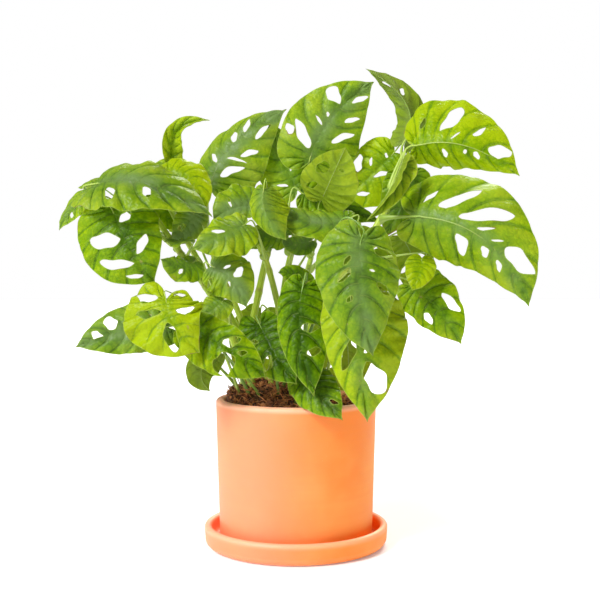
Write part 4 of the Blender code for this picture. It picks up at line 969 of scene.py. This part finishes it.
def blade(shape):
    """A leaf blade as points, faces, UV for each face corner, and numbers for each point. Its outline,
    holes, midrib and side veins are rows of places on the flat blade, an even net fills what they leave,
    and triangles join them. The sheet is then bent and doubled. U counts its side veins, and V is the way
    out from the midrib to the edge."""
    length = leaf_length(shape)
    gap = float(np.clip(length / GAPS_ALONG, FINEST_GAP, COARSEST_GAP))
    outline, rims, rows, shift = outlines(shape, gap)
    edges = [outline[rim] for rim in rims]

    def free(points, others, share):
        """The points on the blade that are further than this share of the gap from the others."""
        points = points[on_blade(points, edges)]
        return points[distances(points, others) > gap * share]

    veins = free(vein_rows(shape, shift, gap), outline, 0.55)
    net = free(even_net(outline.min(axis=0), outline.max(axis=0), gap), np.vstack([outline, veins]), 0.62)
    places = np.vstack([outline, veins, net])
    lines = [(k, k + 1) for k in range(rows)]
    lines += [pair for rim in rims for pair in zip(rim, rim[1:] + rim[:1])]
    made = delaunay_2d_cdt(places.tolist(), lines, [], 0, 1e-6)
    source = np.array([ids[0] for ids in made[3]])
    triangles = source[np.array(made[2])]
    triangles = triangles[on_blade(places[triangles].mean(axis=1), edges)]

    u, v = places[:, 0] / length, places[:, 1]
    along, out = vein_place(u, v, shape)
    on_rib = np.arange(len(u)) <= rows
    along[on_rib], out[on_rib] = np.maximum(u[on_rib], 0) ** (1 / VEIN_LEAN), 0
    own = (along - shift[(v >= 0).astype(int)]) / VEIN_STEP
    points, sides = doubled(bent(u, v, puffed(own, out, v, length), shape), triangles)

    def corner_uv(faces):
        """The UV of each corner of these faces."""
        ends = faces % len(u)
        half = (v[ends].mean(axis=1) >= 0).astype(int)[:, None]
        return np.stack([(along[ends] - shift[half]) / VEIN_STEP, out[ends]], axis=-1).reshape(-1, 2)

    numbers = {
        "rib": np.tile(np.abs(v), 2), "rim": np.tile(distances(places, outline[rows + 1:]), 2),
        "under": np.repeat([1.0, 0.0], len(u)),
        "tone": np.full(len(points), shape["tone"]), "bloom": np.full(len(points), shape["bloom"]),
    }
    faces = [face for side in sides for face in side.tolist()]
    return points, faces, np.vstack([corner_uv(side) for side in sides]), numbers


def stalk(shape):
    """A leaf's stalk and midrib as one tube: from inside its stem, or its hole in the mix, with a sheath at
    its foot and a slight swelling under the blade, and on along the blade's middle to near the tip, ever
    thinner. The last array is how pale it is at each point."""
    root, *passes = shape["stalk"]
    base, pull, tip, faces = midrib(shape)
    length = leaf_length(shape)
    ahead = unit(pull - base)
    up = unit(faces - ahead * np.dot(ahead, faces))
    near = base - min(9, length / 6) * ahead - 0.8 * up
    into = base + 0.1 * (pull - base)
    foot = 1.2 + 0.006 * length
    if isinstance(root, str):
        centre, direction, radius = on_stem(root, passes[0])
        passes = passes[1:]
        toward = np.array(passes[0] if passes else near, float) - centre
        toward = unit(toward - direction * np.dot(direction, toward))
        start = [centre + toward * radius * 0.2 - direction * 3, centre + toward * (radius + 2.4)]
        flare = 1.5
    else:
        start = list(rooted(*root))
        flare = 0.35
    route = [*start, *passes, near, into]
    span = np.linalg.norm(np.diff(route, axis=0), axis=1).sum()
    lower = curve(route, np.linspace(0, 1, int(np.clip(span / 1.6, 14, 90))))
    w = np.linspace(0.05, 0.97, int(np.clip(length / 2.4, 10, 44)))[1:]
    rib_radius = float(np.clip(RIB_SHARE * length, THINNEST_RIB, THICKEST_RIB))
    rib = bent(w, np.zeros(len(w)), np.full(len(w), -DIP * length - 0.5 * rib_radius), shape)
    run = way_along(lower)
    slim = foot + (rib_radius * 1.15 - foot) * (run / run[-1])
    slim = slim * (1 + flare * np.exp(-run / 4.5) + 0.2 * np.exp(-((run[-1] - 5 - run) / 3.5) ** 2))
    radii = np.concatenate([slim, np.linspace(rib_radius * 1.1, RIB_TIP, len(w))])
    pale = np.repeat([shape["pale"]] * len(lower) + [shape["tone"]] * len(w), STALK_SIDES)
    return *tube(np.vstack([lower, rib]), radii, STALK_SIDES), np.append(pale, pale[[0, -1]])


leaf, leaf_shader, add = new_material("leaf blade")
place = add("TexCoord").outputs["Object"]
parts = add("SeparateXYZ", Vector=add("UVMap", {"uv_map": "UVMap"}).outputs["UV"]).outputs
reach = worked(add, "ABSOLUTE", parts["Y"])
vein_gap = worked(add, "SUBTRACT", 0.5, worked(add, "PINGPONG", parts["X"], 0.5))
read = {key: stored(add, key) for key in ("rib", "rim", "under", "tone", "bloom")}
broad = noise(add, place, 34, 2, 0.5)
patchy = noise(add, place, 120, 3, 0.55)
small = noise(add, place, 340, 3, 0.6)
cells = add("TexVoronoi", {"feature": "DISTANCE_TO_EDGE"}, Vector=place, Scale=230).outputs["Distance"]
vein_line = ramp(add, vein_gap, 0.012, 0.05, 1, 0)
# Painted shade in the creases of the side veins, fainter towards the midrib.
crease_shade = worked(add, "MULTIPLY", ramp(add, vein_gap, 0, 0.15, 1, 0), ramp(add, reach, 0, 0.35, 0.45, 1))
# Clouds make the green lighter or darker than the leaf's own tone, and it is lighter towards the edge.
# Painted shade darkens it in the vein creases, beside the midrib's groove and between the fine cells.
ripe = read["tone"]
for value, weight in (
    (broad, 0.8), (patchy, 0.75), (small, 0.5), (crease_shade, -0.4), (ramp(add, reach, 0.3, 1), 0.24),
    (ramp(add, read["rib"], 0, 10, 1, 0), -0.2), (ramp(add, cells, 0, 0.16, 1, 0), -0.13),
):
    ripe = worked(add, "MULTIPLY_ADD", value, weight, ripe)
greens = add("ValToRGB", Fac=worked(add, "SUBTRACT", ripe, 0.88))
stops = ((0, (0.035, 0.098, 0.0005)), (0.25, (0.092, 0.212, 0.0005)), (0.5, (0.19, 0.35, 0.001)),
         (0.75, (0.30, 0.46, 0.001)), (1, (0.46, 0.60, 0.004)))
for number, (where, colour) in enumerate(stops):
    stop = greens.color_ramp.elements[number] if number < 2 else greens.color_ramp.elements.new(where)
    stop.position, stop.color = where, (*colour, 1)
# Over it come painted grey-green sheen, a painted reflection, most of it beside the midrib, paler veins,
# a painted highlight along the rims, dry brown edges and spots, and the paler underside.
near = worked(add, "MULTIPLY", read["bloom"], ramp(add, read["rib"], 0, 13, 1.6, 0.4))
clamped = {"operation": "MULTIPLY", "use_clamp": True}
bloom = add("Math", clamped, _0=near, _1=ramp(add, broad, 0.38, 0.6, 0.3, 1)).outputs[0]
line = worked(add, "MULTIPLY", vein_line, ramp(add, reach, 0.7, 1, 1, 0))
brown = worked(add, "MULTIPLY_ADD", read["rim"], -0.11, broad)
skin = greens.outputs["Color"]
for share, colour in (
    (bloom, (0.21, 0.33, 0.10, 1)), (worked(add, "MULTIPLY", line, 0.25), (0.36, 0.48, 0.07, 1)),
    # Painted highlight along the rims of the blade and its holes.
    (ramp(add, read["rim"], 0.1, 0.9, 0.6, 0), (0.46, 0.57, 0.10, 1)),
    (ramp(add, brown, 0.60, 0.64, 0, 0.75), (0.30, 0.19, 0.05, 1)),
    (ramp(add, patchy, 0.71, 0.74, 0, 0.5), (0.42, 0.33, 0.12, 1)),
    (worked(add, "MULTIPLY", read["under"], 0.55), (0.31, 0.40, 0.03, 1)),
):
    skin = mixed(add, share, skin, colour)
relief = worked(add, "MULTIPLY_ADD", small, 0.5, ramp(add, cells, 0, 0.35))
relief = worked(add, "MULTIPLY_ADD", vein_line, -0.8, relief)
bumps = add("Bump", Height=relief, Strength=0.4, Distance=0.0005).outputs["Normal"]
gloss = worked(add, "MULTIPLY_ADD", read["under"], 0.18, ramp(add, small, 0.3, 0.7, 0.3, 0.42))
feed(leaf_shader, Base_Color=skin, Roughness=gloss, Specular_IOR_Level=0.17, Normal=bumps)
through = add("BsdfTranslucent", Normal=bumps, Color=mixed(add, 0.4, skin, (0.46, 0.64, 0.003, 1)))
both = add("MixShader", _0=0.4, _1=leaf_shader.outputs[0], _2=through.outputs[0])
feed(leaf.node_tree.nodes["Material Output"], Surface=both.outputs[0])

rib, rib_shader, add = new_material("leaf stalk")
fibre = add("Group", {"node_tree": streaks}, Closeness=(6.0, 0.04, 1.0), Dull=(0.29, 0.43, 0.04, 1),
            Bright=(0.46, 0.58, 0.12, 1), Relief=0.00025).outputs
skin = mixed(add, ramp(add, stored(add, "tone"), 0, 1, 1, 0), fibre["Skin"], (0.13, 0.26, 0.025, 1))
feed(rib_shader, Base_Color=skin, Roughness=fibre["Roughness"], Normal=fibre["Normal"],
     Subsurface_Weight=0.2, Subsurface_Radius=(0.6, 1, 0.2), Subsurface_Scale=0.002)

for name, row in LEAVES.items():
    shape = {**PLAIN_LEAF, **row}
    points, faces, uv, numbers = blade(shape)
    stalk_points, stalk_faces, stalk_uv, pale = stalk(shape)
    stalk_corners = [number for face in stalk_faces for number in face]
    both_faces = faces + [[number + len(points) for number in face] for face in stalk_faces]
    grown = piece(f"blade_{name}", np.vstack([points, stalk_points]), both_faces, leaf, rib)
    materials = np.repeat([0, 1], (len(faces), len(stalk_faces)))
    grown.data.polygons.foreach_set("material_index", materials.astype(np.int32))
    give_uv(grown.data, np.vstack([uv, stalk_uv[stalk_corners]]))
    for key, values in numbers.items():
        give(grown.data, key, np.append(values, pale if key == "tone" else np.zeros(len(pale))))
    grown.data.set_sharp_from_angle(angle=math.radians(55))
    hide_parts(f"leaf_{name}")

# Floor and light: a white table that runs on behind the plant in a bright, even room. The main soft light
# is high on the left, with a low window beside it, a faint warm one on the right, and one from behind that
# shines through the leaves.
floor_mesh = bpy.data.meshes.new("floor")
floor_mesh.from_pydata([(-6, -6, 0), (6, -6, 0), (6, 6, 0), (-6, 6, 0)], [], [(0, 1, 2, 3)])
floor = placed("floor", floor_mesh)
white, white_shader, add = new_material("white table")
tint = noise(add, add("TexCoord").outputs["Object"], 3, 2, 0.5)
feed(white_shader, Base_Color=(0.9, 0.9, 0.9, 1), Roughness=ramp(add, tint, 0.3, 0.7, 0.7, 0.8),
     Emission_Color=(0.75, 0.85, 1, 1), Emission_Strength=0.16)
floor_mesh.materials.append(white)

# The camera sees a white room, which lights the plant only faintly.
world = bpy.data.worlds.new("room")
bpy.context.scene.world = world
world.use_nodes = True
add = node_maker(world.node_tree)
seen = add("LightPath").outputs["Is Camera Ray"]
feed(world.node_tree.nodes["Background"], Color=(1, 1, 1, 1), Strength=ramp(add, seen, 0, 1, 0.26, 1))


def soft_light(name, place, strength, spread, colour=(1, 1, 1)):
    """A distant soft light that shines from a place towards the origin."""
    data = bpy.data.lights.new(name, "SUN")
    data.energy, data.angle, data.color = strength, math.radians(spread), colour
    x, y, z = place
    placed(name, data).rotation_euler = (math.atan2(math.hypot(x, y), z), 0, math.atan2(y, x) + math.pi / 2)


soft_light("light_left", (-0.8, -0.75, 1.0), 3.3, 18)
soft_light("light_window", (-1.0, -0.95, 0.22), 0.7, 40)
soft_light("light_right", (1.0, -0.7, 0.2), 0.4, 50, (1, 0.62, 0.3))
soft_light("light_behind", (0.35, 1.0, 1.0), 2.8, 30, (1, 0.99, 0.94))

bpy.context.scene.view_settings.view_transform = "Standard"
